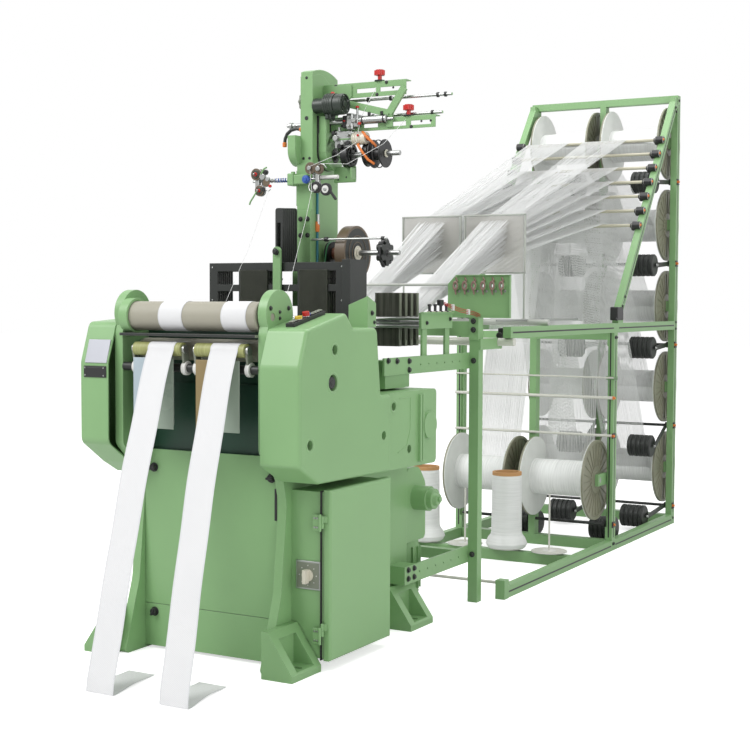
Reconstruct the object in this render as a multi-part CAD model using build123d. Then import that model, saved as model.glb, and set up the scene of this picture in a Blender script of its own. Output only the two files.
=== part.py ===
from build123d import *
import math
import os

# All sizes are in millimetres. X runs along the rollers to the right, Y runs from the
# ribbon side to the creel, Z is up from the floor. The working frame has its X zero on
# the creel's middle plane and its Y zero at the front of the loom; every finished piece
# is then shifted so that the machine's origin is under the middle of its footprint.

# Side plates
loom_mid = -67.5
plate_gap = 509.0
plate_t = 30.0
plate_rear = 930.0
bulge_y = 42.0
waist_y = 150.0
plate_foot_y = 46.0
plate_deck_z = 865.0
disc_y = 112.0
disc_z = 1078.0
disc_r = 73.0

# Rollers at the ribbon side
roller_y = 75.0
roller_z = 1070.0
roller_r = 45.0
roller_end_gap = 6.0
journal_r = 12.0
running_gap = 0.05
cloth_roller_y = 134.0
cloth_roller_z = 966.0
cloth_roller_r = 29.0
small_roller_y = 42.0
small_roller_z = 969.0
small_roller_r = 21.0
small_roller_l = 180.0
small_roller_shift = -20.0
small_pin_r = 6.0
shaft_y = 52.0
shaft_z = 912.0
shaft_r = 13.0

# The two weaving heads and their ribbons
head_left_x = -157.0
head_right_x = 77.0
ribbon_w = 106.0
ribbon_shift = 11.0
ribbon_drifts = (65.0, 95.0)
ribbon_t = 1.2
soft_gap = 0.3
seat_gap = 0.3
ribbon_floor_y = -350.0
ribbon_tail = 245.0
ribbon_tail_drift = -40.0

# Covers on the two sides
cover_gap = 5.0
cover_w = 133.0
cover_front_y = 6.0
cover_lean = 42.0
cover_lean_z = 925.0
cover_rear_y = 488.0
cover_low_z = 592.0
cover_top_z = 1035.0
cover_peak_y = 272.0
cover_peak_z = 1082.0
cover_ext_end_y = 908.0
cover_ext_top_z = 820.0
cover_ext_low_z = 565.0
left_cover_w = 108.0

# Electrical cabinet on the right side plate
cab_front_y = 179.0
cab_depth = 381.0
cab_low_z = 38.0
cab_high_z = 545.0
cab_w = 138.0
door_t = 24.0
knob_r = 19.0

# Front panels
panel_t = 2.0
panel_top_z = 645.0
panel_seam_z = 146.0
panel_low_z = 10.0

# Harness
frame_count = 8
frame_pitch = 12.0
frame_t = 8.0
harness_y = 522.0
harness_w = 536.0
harness_low_z = 930.0
harness_top_z = 1245.0
harness_travel = 30.0
comb_w = 31.0
groove_depth = 6.0
groove_gap = 0.3
blade_x = -53.5
blade_w = 28.0
blade_slot_w = 14.0
blade_step = 0.6
blade_top_z = 1430.0

# Batten, weft needles and main shaft
batten_y = 400.0
batten_z = 560.0
batten_shaft_r = 12.0
reed_top_z = 1052.0
needle_pivot_y = 272.0
needle_z = 985.0
needle_reach = 100.0
needle_blade = 8.0
needle_side = 61.5
needle_step = 14.0
main_y = 420.0
main_z = 330.0
main_r = 18.0

# Weft feeding column
tower_w = 48.0
tower_left_x = -56.0
tower_y = 660.0
tower_depth = 168.0
tower_low_z = 700.0
tower_top_z = 1890.0
feed_y = 750.0
reel_z = 1613.0
reel_r = 46.5
disc_axis_z = 1281.0
weft_disc_r = 91.5
upper_arm_z = 1802.0
upper_arm_h = 50.0
upper_arm_end = 310.0
lower_arm_z = 1689.0
lower_arm_h = 41.0
lower_arm_end = 419.0
guide_rod_end = 468.0

# Rear extension of the loom
rail_x = 276.0
rail_t = 8.0
rail_start_y = 790.0
rail_end_y = 1329.0
rail_high_z = 871.0
rail_high_h = 59.0
rail_low_z = 149.0
rail_low_h = 62.0
post_size = 38.0
post_top_z = 1065.0
dropper_y = 1050.0
dropper_z = 1030.0

# Creel
creel_half = 389.0
channel_w = 32.0
channel_d = 45.0
base_h = 46.0
creel_front_y = 1389.0
creel_post_y = 2577.0
creel_back_y = 3465.0
creel_top_z = 2144.0
side_rail_low_z = 981.0
side_rail_h = 42.5
side_rail_front_y = 1431.0
arm_foot_y = 2664.0
arm_foot_z = 1073.0
arm_head_y = 3452.0
arm_head_drop = 39.0
arm_head_z = creel_top_z - arm_head_drop
guide_bar_count = 7
guide_bar_drop = 239.0
guide_bar_top_z = creel_top_z - guide_bar_drop
guide_bar_pitch = 71.5
guide_bar_r = 7.0
guide_bar_offset = 38.0
tube_r = 15.0

# Warp beams
beam_rows = 5
beam_first_z = 286.0
beam_pitch = 406.0
beam_y = 3500.0
beam_front_y = 2510.0
beam_front_z = 326.0
beam_l = 305.0
flange_r = 178.0
flange_t = 12.0
yarn_r = 80.0
spindle_r = 12.0
bearing_size = 52.0

# Yarn cones on the pins of a low cross beam
cone_r = 66.0
cone_h = 325.0
cone_beam_y = 2140.0
cone_beam_h = 46.0
cone_base_z = 60.0
cone_pin_x = -329.0
cone_pin_pitch = 198.0
cone_pin_count = 4
cone_pin_r = 4.0

os.makedirs("parts", exist_ok=True)

left_in = loom_mid - plate_gap / 2
right_in = loom_mid + plate_gap / 2
left_out = left_in - plate_t
right_out = right_in + plate_t
cover_right_x = right_out + cover_gap + cover_w
left_cover_x = left_out - left_cover_w
machine_left_x = left_cover_x
machine_right_x = guide_rod_end
machine_front_y = ribbon_floor_y
machine_back_y = beam_y + flange_r
origin_x = (machine_left_x + machine_right_x) / 2
origin_y = (machine_front_y + machine_back_y) / 2


# Shape helpers

def block(x0, x1, y0, y1, z0, z1):
    """A rectangular block between two corners."""
    return Pos((x0 + x1) / 2, (y0 + y1) / 2, (z0 + z1) / 2) * Box(x1 - x0, y1 - y0, z1 - z0)


def rod_x(x0, x1, y, z, r):
    """A round bar along X."""
    return Pos((x0 + x1) / 2, y, z) * Rot(0, 90, 0) * Cylinder(r, x1 - x0)


def rod_y(y0, y1, x, z, r):
    """A round bar along Y."""
    return Pos(x, (y0 + y1) / 2, z) * Rot(90, 0, 0) * Cylinder(r, y1 - y0)


def rod_z(z0, z1, x, y, r):
    """A round bar along Z."""
    return Pos(x, y, (z0 + z1) / 2) * Cylinder(r, z1 - z0)


def outline(points, place):
    """A closed face; a corner given as (u, v, radius) is rounded."""
    corners = [place(p[0], p[1]) for p in points]
    face = Face(Wire.make_polygon(corners, close=True))
    for point, corner in zip(points, corners):
        if len(point) == 3:
            nearest = min(face.vertices(), key=lambda v: (Vector(v.X, v.Y, v.Z) - corner).length)
            face = face.fillet_2d(point[2], [nearest])
    return face


def plate_yz(points, x0, x1):
    """A plate cut to an outline in Y and Z, between two X planes."""
    face = outline(points, lambda u, v: Vector(x0, u, v))
    return Solid.extrude(face, Vector(x1 - x0, 0, 0))


def plate_xz(points, y0, y1):
    """A plate cut to an outline in X and Z, between two Y planes."""
    face = outline(points, lambda u, v: Vector(u, y0, v))
    return Solid.extrude(face, Vector(0, y1 - y0, 0))


def slanted_bar(start, end, width, x0, x1):
    """A flat bar between two points of a YZ plane."""
    run = Vector(0, end[0] - start[0], end[1] - start[1]).normalized()
    side = Vector(0, -run.Z, run.Y) * (width / 2)
    a = Vector(x0, start[0], start[1])
    b = Vector(x0, end[0], end[1])
    face = Face(Wire.make_polygon([a - side, b - side, b + side, a + side], close=True))
    return Solid.extrude(face, Vector(x1 - x0, 0, 0))


def turned_x(profile, y, z):
    """A turned piece: the (x, r) profile spun about an axis along X."""
    corners = [Vector(x, 0, r) for x, r in profile]
    face = Face(Wire.make_polygon(corners, close=True))
    spun = Solid.revolve(face, 360, Axis((0, 0, 0), (1, 0, 0)))
    return Pos(0, y, z) * spun


def slab(start, end):
    """A thin yarn slab lofted between two level edges, each (x0, x1, y, z, thickness)."""
    wires = []
    for x0, x1, y, z, t in (start, end):
        corners = [Vector(x0, y, z), Vector(x1, y, z), Vector(x1, y + t, z), Vector(x0, y + t, z)]
        wires.append(Wire.make_polygon(corners, close=True))
    return Solid.make_loft(wires, ruled=True)


def save(node, *solids):
    """Shifts the node's solids to the machine's origin and writes them."""
    shift = Pos(-origin_x, -origin_y, 0)
    bodies = []
    for shape in solids:
        bodies.extend((shift * shape).solids())
    export_step(Compound(children=bodies) if len(bodies) > 1 else bodies[0], f"parts/{node}.step")


# Side plates: cast plates with a round head, a waist and a long foot

plate_points = [
    (bulge_y, disc_z - 60, 40),
    (bulge_y, 668, 30),
    (waist_y - 20, 582, 40),
    (waist_y, 505, 50),
    (waist_y - 30, 230, 150),
    (plate_foot_y, 0, 14),
    (plate_rear, 0, 14),
    (plate_rear, 540, 40),
    (plate_rear - 90, 600, 40),
    (plate_rear - 90, plate_deck_z, 20),
    (450, plate_deck_z, 40),
    (380, 985, 50),
    (disc_y + disc_r, 1000, 20),
    (disc_y + disc_r - 20, disc_z - 40),
    (disc_y, disc_z - 20),
    (disc_y - disc_r + 12, disc_z - 30),
]
journal_bore_r = journal_r + running_gap
plate_bores = [
    (roller_y, roller_z, journal_bore_r),
    (cloth_roller_y, cloth_roller_z, journal_bore_r),
    (batten_y, batten_z, batten_shaft_r + running_gap),
    (main_y, main_z, main_r + running_gap),
]


def side_plate(x0):
    plate = plate_yz(plate_points, x0, x0 + plate_t)
    plate += rod_x(x0, x0 + plate_t, disc_y, disc_z, disc_r)
    for y, z, r in plate_bores:
        plate -= rod_x(x0 - 1, x0 + plate_t + 1, y, z, r)
    return plate


save("side_plate_left", side_plate(left_out))
save("side_plate_right", side_plate(right_in))

# Beams that tie the two plates: breast beam, deck beam, column platform, floor girders

tie_sizes = [
    (236, 296, 860, 900),
    (450, 514, 820, plate_deck_z - 5),
    (tower_y - 25, tower_y + tower_depth + 12, tower_low_z - 60, tower_low_z),
    (waist_y + 20, waist_y + 80, 40, 120),
    (plate_rear - 90, plate_rear - 10, 60, 160),
]
ties = [block(left_in, right_in, y0, y1, z0, z1) for y0, y1, z0, z1 in tie_sizes]
support_arm_w = 30.0
support_arm_top = harness_top_z + 52
support_arm_y = harness_y - 14
arm_low_z = plate_deck_z - 45
support_arm = plate_xz(
    [
        (blade_x - support_arm_w / 2, arm_low_z),
        (blade_x + support_arm_w / 2, arm_low_z),
        (blade_x + support_arm_w / 2, support_arm_top, 14),
        (blade_x - support_arm_w / 2, support_arm_top, 14),
    ],
    support_arm_y,
    support_arm_y + 8,
)
guide_pin_r = 4.5
guide_pin_z = harness_top_z + 36
pin_end_y = harness_y + frame_count * frame_pitch + 6
guide_pin = rod_y(support_arm_y - 9, pin_end_y, blade_x, guide_pin_z, guide_pin_r)

# Folded green bracket behind the gear cover, bolted to the right plate's outer face
bracket_y = 498.0
bracket_t = 4.0
bracket_depth = 54.0
bracket_x1 = 300.0
bracket_low_z = plate_deck_z - 32
bracket_top_z = 1134.0
bracket_web = plate_xz(
    [
        (right_out, bracket_low_z),
        (right_out + 24, bracket_low_z),
        (bracket_x1, bracket_top_z - 100),
        (bracket_x1, bracket_top_z),
        (right_out + 12, bracket_top_z - 28),
        (right_out + 12, bracket_top_z - 220),
        (right_out, plate_deck_z),
    ],
    bracket_y,
    bracket_y + bracket_t,
)
bracket_side = plate_yz(
    [
        (bracket_y, bracket_top_z - 99),
        (bracket_y + bracket_depth, bracket_top_z - 99),
        (bracket_y + bracket_depth, bracket_top_z - 22, 6),
        (bracket_y, bracket_top_z),
    ],
    bracket_x1 - bracket_t,
    bracket_x1,
)
save("tie_beams", *ties, support_arm + guide_pin, bracket_web + bracket_side)

# Cast feet: wedges bolted outside the plates, each with a pocket and a levelling slot

foot_w = 164.0
foot_reach = 108.0
foot_h = 142.0
foot_lip = 20.0
foot_slot = (66.0, 82.0)
foot_slot_r = 9.0
foot_ys = (plate_foot_y - 34, plate_rear - foot_w - 6)


def wedge_foot(x_wall, side, y0):
    points = [
        (x_wall, 0),
        (x_wall + side * foot_reach, 0),
        (x_wall + side * foot_reach, foot_lip),
        (x_wall + side * 22, foot_h),
        (x_wall, foot_h),
    ]
    foot = plate_xz(points, y0, y0 + foot_w)
    pocket = [
        (x_wall + side * 30, 26),
        (x_wall + side * (foot_reach + 8), 26),
        (x_wall + side * 52, foot_h - 24),
        (x_wall + side * 30, foot_h - 24),
    ]
    foot -= plate_xz(pocket, y0 + 34, y0 + foot_w - 34)
    slot_x = sorted(x_wall + side * reach for reach in foot_slot)
    for x in slot_x:
        foot -= rod_z(-1, 27, x, y0 + foot_w / 2, foot_slot_r)
    foot -= block(*slot_x, y0 + foot_w / 2 - foot_slot_r, y0 + foot_w / 2 + foot_slot_r, -1, 27)
    return foot


feet = []
for foot_y in foot_ys:
    feet.append(wedge_foot(right_out, 1, foot_y))
    feet.append(wedge_foot(left_out, -1, foot_y))
save("machine_feet", *feet)

# Sheet panels between the plates at the front, folded back along their edges

panel_side = 0.5
panel_fold = 28.0
panel_x0 = left_in + panel_side
panel_x1 = right_in - panel_side


def folded_panel(z0, z1):
    sheet = block(panel_x0, panel_x1, waist_y, waist_y + panel_t, z0, z1)
    for z in (z0, z1 - panel_t):
        sheet += block(panel_x0, panel_x1, waist_y, waist_y + panel_fold / 2, z, z + panel_t)
    for x in (panel_x0, panel_x1 - panel_t):
        sheet += block(x, x + panel_t, waist_y, waist_y + panel_fold / 2, z0, z1)
    return sheet


save("front_panels", folded_panel(panel_seam_z + 1.5, panel_top_z), folded_panel(panel_low_z, panel_seam_z))

# Left cover: a hollow casting that follows the plate's front and leans back at its top

cover_wall = 5.0


def left_cover_body(grow):
    points = [
        (cover_front_y + cover_lean + grow, cover_top_z + 14 - grow, 26),
        (cover_front_y + grow, cover_lean_z, 60),
        (cover_front_y + grow, 672, 30),
        (waist_y - 40 + grow, 600 + grow, 50),
        (waist_y + 30 + grow, cover_low_z - 30 + grow),
        (cover_rear_y - grow, cover_low_z - 30 + grow, 30),
        (cover_rear_y - grow, 930, 40),
        (cover_peak_y, cover_top_z + 28 - grow, 60),
    ]
    x0 = left_cover_x + grow
    return plate_yz(points, x0, left_out + (1 if grow else 0))


left_cover = left_cover_body(0) - left_cover_body(cover_wall)
save("left_cover", left_cover)

# Gear cover: the large moulding on the right plate, with a box-shaped rear arm

cover_x0 = right_out
ext_step = 14.0
cover_points = [
    (cover_front_y + cover_lean, cover_top_z, 20),
    (cover_front_y, cover_lean_z, 40),
    (cover_front_y, cover_low_z + 42, 16),
    (cover_front_y + 112, cover_low_z - 16, 16),
    (cover_ext_end_y, cover_ext_low_z, 18),
    (cover_ext_end_y, cover_ext_top_z, 18),
    (cover_rear_y + 4, cover_ext_top_z, 12),
    (cover_rear_y - 22, cover_top_z, 22),
    (cover_peak_y + 46, cover_top_z, 14),
    (cover_peak_y, cover_peak_z, 16),
]
cover_holes = [
    (202, 972, 15),
    (191, 874, 25),
    (62, 697, 15),
    (509, 690, 14),
    (600, 776, 14),
    (710, 628, 14),
]
gear_cover = plate_yz(cover_points, cover_x0, cover_right_x)
outer_face = gear_cover.faces().sort_by(Axis.X)[-1]
gear_cover = fillet(outer_face.edges(), 12)
ext_cut = block(cover_right_x - ext_step, cover_right_x + 1, cover_rear_y + 60, cover_ext_end_y + 1, 500, 900)
gear_cover -= ext_cut
rib_y = 772.0
gear_cover += block(cover_right_x - ext_step - 1, cover_right_x - 4, rib_y, rib_y + 12, 580, 806)
gear_cover += block(cover_right_x - ext_step - 1, cover_right_x - 7, rib_y + 24, rib_y + 36, 580, 806)
gear_cover += rod_x(cover_right_x - ext_step - 1, cover_right_x - 4, 848, 698, 46)
hollow_points = [
    (cover_front_y + cover_lean + 14, cover_top_z - 14),
    (cover_front_y + 12, cover_lean_z),
    (cover_front_y + 12, cover_low_z + 52),
    (cover_front_y + 118, cover_low_z),
    (cover_ext_end_y - 14, cover_ext_low_z + 16),
    (cover_ext_end_y - 14, cover_ext_top_z - 14),
    (cover_rear_y - 16, cover_ext_top_z - 14),
    (cover_rear_y - 36, cover_top_z - 14),
]
gear_cover -= plate_yz(hollow_points, cover_x0 - 1, cover_right_x - 62)
for y, z, r in cover_holes:
    face_x = cover_right_x - (ext_step if y > cover_rear_y + 60 else 0)
    gear_cover -= rod_x(face_x - 26, face_x + 1, y, z, r)
save("gear_cover", gear_cover)

# Take-up roller with its journals in the two plates

body_x0 = left_in + roller_end_gap
body_x1 = right_in - roller_end_gap
journal_reach = plate_t - 2
takeup_profile = [
    (left_in - journal_reach, 0),
    (left_in - journal_reach, journal_r),
    (body_x0, journal_r),
    (body_x0, roller_r - 3),
    (body_x0 + 3, roller_r),
    (body_x1 - 3, roller_r),
    (body_x1, roller_r - 3),
    (body_x1, journal_r),
    (right_in + journal_reach, journal_r),
    (right_in + journal_reach, 0),
]
save("takeup_roller", turned_x(takeup_profile, roller_y, roller_z))
cloth_profile = [
    (left_in - journal_reach, 0),
    (left_in - journal_reach, journal_r),
    (body_x0, journal_r),
    (body_x0, cloth_roller_r),
    (body_x1, cloth_roller_r),
    (body_x1, journal_r),
    (right_in + journal_reach, journal_r),
    (right_in + journal_reach, 0),
]
save("cloth_roller", turned_x(cloth_profile, cloth_roller_y, cloth_roller_z))

# Two small delivery rollers, each turning on a pin between a pair of arms

head_xs = (head_left_x, head_right_x)
arm_t = 7.0
arm_side = 1.0
collar_r = 21.0
roller_xs = [head_x + small_roller_shift for head_x in head_xs]
small_rollers = []
for mid_x in roller_xs:
    half = small_roller_l / 2
    roller = rod_x(mid_x - half, mid_x + half, small_roller_y, small_roller_z, small_roller_r)
    roller -= rod_x(mid_x - half - 1, mid_x + half + 1, small_roller_y, small_roller_z, small_pin_r + running_gap)
    small_rollers.append(roller)
save("delivery_rollers", *small_rollers)

brackets = rod_x(left_in, right_in, shaft_y, shaft_z, shaft_r)
for mid_x in roller_xs:
    half = small_roller_l / 2 + arm_side
    for x0 in (mid_x - half - arm_t, mid_x + half):
        brackets += slanted_bar((small_roller_y, small_roller_z), (shaft_y, shaft_z), 26, x0, x0 + arm_t)
        brackets += rod_x(x0, x0 + arm_t, small_roller_y, small_roller_z, 13)
        brackets += rod_x(x0 - 3, x0 + arm_t + 3, shaft_y, shaft_z, collar_r)
    brackets += rod_x(mid_x - half - 1, mid_x + half + 1, small_roller_y, small_roller_z, small_pin_r)
wiper_y = bulge_y - 16
wiper = block(left_in, right_in, wiper_y, wiper_y + 34, roller_z - roller_r - 16, roller_z - roller_r - 8)
save("roller_brackets", brackets, wiper)

# Clear guide plates that hang behind the ribbons from the black shaft

guide_y = shaft_y + shaft_r
guide_t = 4.0
guide_shift = -51.0
guide_half = 65.0
guide_low_z = 722.0
guide_high_z = 944.0
guide_plates = []
for head_x in head_xs:
    mid_x = head_x + guide_shift
    points = [
        (mid_x - guide_half, guide_low_z, 16),
        (mid_x + guide_half, guide_low_z, 16),
        (mid_x + guide_half, guide_high_z),
        (mid_x - guide_half, guide_high_z),
    ]
    guide = plate_xz(points, guide_y, guide_y + guide_t)
    for roller_mid in roller_xs:
        half = small_roller_l / 2 + arm_side
        for x0 in (roller_mid - half - arm_t, roller_mid + half):
            guide -= rod_x(x0 - 5, x0 + arm_t + 5, shaft_y, shaft_z, collar_r + 2)
            guide -= block(x0 - 2, x0 + arm_t + 2, guide_y - 1, guide_y + guide_t + 1, shaft_z, guide_high_z + 1)
    guide_plates.append(guide)
save("guide_plates", *guide_plates)


# Ribbons: a strip from the take-up roller down over the small roller to the floor

def ribbon(head_x, drift):
    mid_x = head_x + ribbon_shift
    x0 = mid_x - ribbon_w / 2
    x1 = mid_x + ribbon_w / 2
    inner = small_roller_r + soft_gap
    outer = inner + ribbon_t
    drop = small_roller_z - ribbon_t
    reach = small_roller_y - outer - ribbon_floor_y
    lean = math.atan2(reach, drop)
    middle_angle = (math.pi / 2 + lean) / 2
    bend = []
    for r in (inner, outer):
        start = Vector(x0, small_roller_y, small_roller_z + r)
        middle = Vector(x0, small_roller_y - r * math.sin(middle_angle), small_roller_z + r * math.cos(middle_angle))
        finish = Vector(x0, small_roller_y - r * math.cos(lean), small_roller_z + r * math.sin(lean))
        bend.append((start, middle, finish))
    inside, outside = bend
    back_end = Vector(x0, cloth_roller_y - cloth_roller_r + 6, small_roller_z + inner)
    edges = [
        ThreePointArc(*inside),
        ThreePointArc(*outside),
        Line(inside[0], back_end),
        Line(outside[0], back_end + Vector(0, 0, ribbon_t)),
        Line(back_end, back_end + Vector(0, 0, ribbon_t)),
        Line(inside[2], outside[2]),
    ]
    strip = Solid.extrude(Face(Wire(edges)), Vector(ribbon_w, 0, 0))
    run = (outside[2].Z - ribbon_t) / math.cos(lean)
    fall = Vector(drift, -math.sin(lean) * run, -math.cos(lean) * run)
    across = Vector(ribbon_w, 0, 0)
    top = [inside[2], inside[2] + across, outside[2] + across, outside[2]]
    ends = [Wire.make_polygon(top, close=True), Wire.make_polygon([corner + fall for corner in top], close=True)]
    strip += Solid.make_loft(ends, ruled=True)
    foot = outside[2] + fall
    tail = Vector(ribbon_tail_drift, ribbon_tail, 0)
    corners = [foot, foot + across, foot + across + tail, foot + tail]
    face = Face(Wire.make_polygon([Vector(corner.X, corner.Y, 0) for corner in corners], close=True))
    return strip + Solid.extrude(face, Vector(0, 0, ribbon_t))


save("ribbon_left", ribbon(head_left_x, ribbon_drifts[0]))
save("ribbon_right", ribbon(head_right_x, ribbon_drifts[1]))

# Electrical cabinet: a box with an open side, a pan door and a rotary main switch

cab_x0 = right_out
cab_x1 = cab_x0 + cab_w
cab_back_y = cab_front_y + cab_depth
cab_wall = 2.5
door_x0 = cab_x1 - door_t
seal_gap = 1.0
cabinet = block(cab_x0, door_x0 - seal_gap, cab_front_y, cab_back_y, cab_low_z, cab_high_z)
cabinet -= block(
    cab_x0 + cab_wall,
    door_x0,
    cab_front_y + cab_wall,
    cab_back_y - cab_wall,
    cab_low_z + cab_wall,
    cab_high_z - cab_wall,
)
switch_x = 278.0
switch_z = 289.0
switch_plate = 88.0
plate_y = cab_front_y - 3
cabinet += block(
    switch_x - switch_plate / 2,
    door_x0 - seal_gap - 4,
    plate_y,
    cab_front_y,
    switch_z - switch_plate / 2,
    switch_z + switch_plate / 2,
)
stem_r = 5.0
cabinet -= rod_y(plate_y - 1, cab_front_y + cab_wall + 1, switch_x, switch_z, stem_r + running_gap)
hinge_pin_x = door_x0 - 1
hinge_pin_y = cab_front_y - 6
hinge_r = 5.0
for z in (cab_low_z + 70, cab_high_z - 110):
    cabinet += rod_z(z, z + 18, hinge_pin_x, hinge_pin_y, hinge_r)
    cabinet += block(hinge_pin_x - 22, hinge_pin_x, hinge_pin_y + 1, cab_front_y, z, z + 18)
    cabinet += rod_z(z, z + 40, hinge_pin_x, hinge_pin_y, 2.0)
save("cabinet_body", cabinet)

door = block(door_x0, cab_x1, cab_front_y, cab_back_y, cab_low_z - 6, cab_high_z + 6)
door = fillet(door.faces().sort_by(Axis.X)[-1].edges(), 8)
door -= block(
    door_x0 - 1,
    cab_x1 - cab_wall,
    cab_front_y + 12,
    cab_back_y - cab_wall,
    cab_low_z - 6 + cab_wall,
    cab_high_z + 6 - cab_wall,
)
for z in (cab_low_z + 88.3, cab_high_z - 91.7):
    leaf = rod_z(z, z + 20, hinge_pin_x, hinge_pin_y, hinge_r)
    leaf += block(hinge_pin_x, hinge_pin_x + 14, hinge_pin_y - 2, hinge_pin_y + 2, z, z + 20)
    leaf += block(hinge_pin_x + 8, hinge_pin_x + 14, hinge_pin_y - 2, cab_front_y, z, z + 20)
    door += leaf - rod_z(z - 1, z + 21, hinge_pin_x, hinge_pin_y, 2.0 + running_gap)
save("cabinet_door", door)

knob = rod_y(plate_y - 7, plate_y - 0.3, switch_x, switch_z, knob_r)
knob += block(switch_x - 6, switch_x + 6, plate_y - 26, plate_y - 6, switch_z - knob_r - 4, switch_z + knob_r)
knob += rod_y(plate_y - 1, cab_front_y + 12, switch_x, switch_z, stem_r)
save("main_switch_knob", knob)

# Control strip with two push buttons, lying on the sloping top of the gear cover

top_start_y = cover_front_y + cover_lean
top_run = cover_peak_y - top_start_y
top_slope = math.degrees(math.atan2(cover_peak_z - cover_top_z, top_run))
strip_x = right_out + cover_gap + 54
strip_len = 178.0
strip_w = 30.0
strip_h = 11.0
strip_mid_y = 164.0
strip_mid_z = cover_top_z + (strip_mid_y - top_start_y) * math.tan(math.radians(top_slope))
strip_place = Pos(strip_x, strip_mid_y, strip_mid_z) * Rot(top_slope, 0, 0)
button_r = 11.0
button_stem_r = 4.0
button_ys = (-38.0, 4.0)
strip = Pos(0, 0, strip_h / 2) * Box(strip_w, strip_len, strip_h)
for y in button_ys:
    strip -= Pos(0, y, strip_h - 4) * Cylinder(button_stem_r + running_gap, 9)
save("control_strip", strip_place * strip)
button_travel = 3.0
for name, y, height in (("start_button", button_ys[0], 7.0), ("stop_button", button_ys[1], 12.0)):
    cap_low = strip_h + button_travel + 0.5
    button = Pos(0, y, cap_low + height / 2) * Cylinder(button_r, height)
    button += Pos(0, y, strip_h - 1) * Cylinder(button_stem_r, 2 * (cap_low - strip_h + 1))
    save(name, strip_place * button)

# Harness frames: eight steel frames, each with two packs of healds and a slotted blade

harness_x0 = loom_mid - harness_w / 2
harness_x1 = loom_mid + harness_w / 2
stile_w = 24.0
top_bar_h = 28.0
heald_bar_z = 1150.0
heald_bar_h = 22.0
pack_w = 97.0
heald_count = 9
heald_w = 2.4
heald_t = 2.0


window_edge = 9.0
slot_rise = 58.0
slot_half = guide_pin_r + 3


def harness_frame(index):
    """One frame plate with its windows and slotted blade, and its healds."""
    y0 = harness_y + index * frame_pitch
    y1 = y0 + frame_t
    blade_z = blade_top_z - blade_step * (frame_count - index)
    outer = plate_xz(
        [
            (harness_x0, harness_low_z),
            (harness_x1, harness_low_z),
            (harness_x1, harness_top_z),
            (blade_x + blade_w / 2, harness_top_z),
            (blade_x + blade_w / 2, blade_z, 9),
            (blade_x - blade_w / 2, blade_z, 9),
            (blade_x - blade_w / 2, harness_top_z),
            (harness_x0, harness_top_z),
        ],
        y0,
        y1,
    )
    z0 = harness_low_z + top_bar_h
    z1 = harness_top_z - top_bar_h
    packs = [(head_x - pack_w / 2, head_x + pack_w / 2) for head_x in head_xs]
    bays = [(harness_x0 + stile_w, packs[0][0]), (packs[0][1], packs[1][0]), (packs[1][1], harness_x1 - stile_w)]
    windows = [(x0, x1, z0, z1) for x0, x1 in packs]
    for x0, x1 in bays:
        windows.append((x0 + window_edge, x1 - window_edge, z0, heald_bar_z))
        windows.append((x0 + window_edge, x1 - window_edge, heald_bar_z + heald_bar_h, z1))
    slot_low = guide_pin_z - harness_travel - slot_half
    slot_high = guide_pin_z + harness_travel + slot_half + slot_rise
    windows.append((blade_x - blade_slot_w / 2, blade_x + blade_slot_w / 2, slot_low, slot_high))
    for x0, x1, low, high in windows:
        outer -= block(x0, x1, y0 - 1, y1 + 1, low, high)
    middle = (y0 + y1) / 2
    step = pack_w / heald_count
    healds = []
    for x_start, x_end in packs:
        for n in range(heald_count):
            x = x_start + (n + 0.5) * step
            healds.append(block(x - heald_w / 2, x + heald_w / 2, middle - heald_t / 2, middle + heald_t / 2, z0, z1))
    return outer, healds


frames = [harness_frame(index) for index in range(frame_count)]
for name, first in (("harness_frames_a", 0), ("harness_frames_b", 1)):
    pieces = []
    for outer, healds in frames[first::2]:
        for heald in healds:
            outer += heald
        pieces.append(outer)
    save(name, *pieces)

# Combs that guide the frame ends, standing on the side plates

comb_y0 = harness_y - 8
comb_y1 = harness_y + frame_count * frame_pitch + 4


def comb(x0, x1, mouth_x0, mouth_x1, top_z):
    body = block(x0, x1, comb_y0, comb_y1, plate_deck_z, top_z)
    for index in range(frame_count):
        y0 = harness_y + index * frame_pitch - groove_gap
        y1 = harness_y + index * frame_pitch + frame_t + groove_gap
        body -= block(mouth_x0, mouth_x1, y0, y1, plate_deck_z + 25, harness_top_z + 30)
    return body


comb_right_x = harness_x1 - groove_depth
comb_left_x = harness_x0 + groove_depth
comb_right_top = harness_top_z + 8
comb_left_top = harness_top_z - 140
right_comb = comb(comb_right_x, comb_right_x + comb_w, comb_right_x - 1, harness_x1 + groove_gap, comb_right_top)
left_comb = comb(comb_left_x - comb_w, comb_left_x, harness_x0 - groove_gap, comb_left_x + 1, comb_left_top)
save("harness_combs", right_comb, left_comb)

# Batten: a rocking shaft with two arms that carry the reeds

reed_w = 124.0
reed_low_z = 950.0
reed_blades = 16
batten = rod_x(left_in - journal_reach, right_in + journal_reach, batten_y, batten_z, batten_shaft_r)
for x in (left_in + 26, right_in - 46):
    batten += block(x, x + 20, batten_y - 14, batten_y + 14, batten_z, reed_low_z)
    batten += rod_x(x - 8, x + 28, batten_y, batten_z, 26)
batten += block(left_in + 26, right_in - 26, batten_y - 20, batten_y + 16, reed_low_z - 30, reed_low_z)
for head_x in head_xs:
    half = reed_w / 2
    reed = block(head_x - half, head_x + half, batten_y - 6, batten_y + 6, reed_low_z, reed_top_z)
    step = (reed_w - 16) / reed_blades
    for n in range(reed_blades):
        x = head_x - half + 8 + n * step
        reed -= block(x + 1.2, x + step - 1.2, batten_y - 7, batten_y + 7, reed_low_z + 12, reed_top_z - 12)
    batten += reed
save("batten", batten)

# Weft needles: curved arms on short upright spindles that stand on the breast beam

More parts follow.
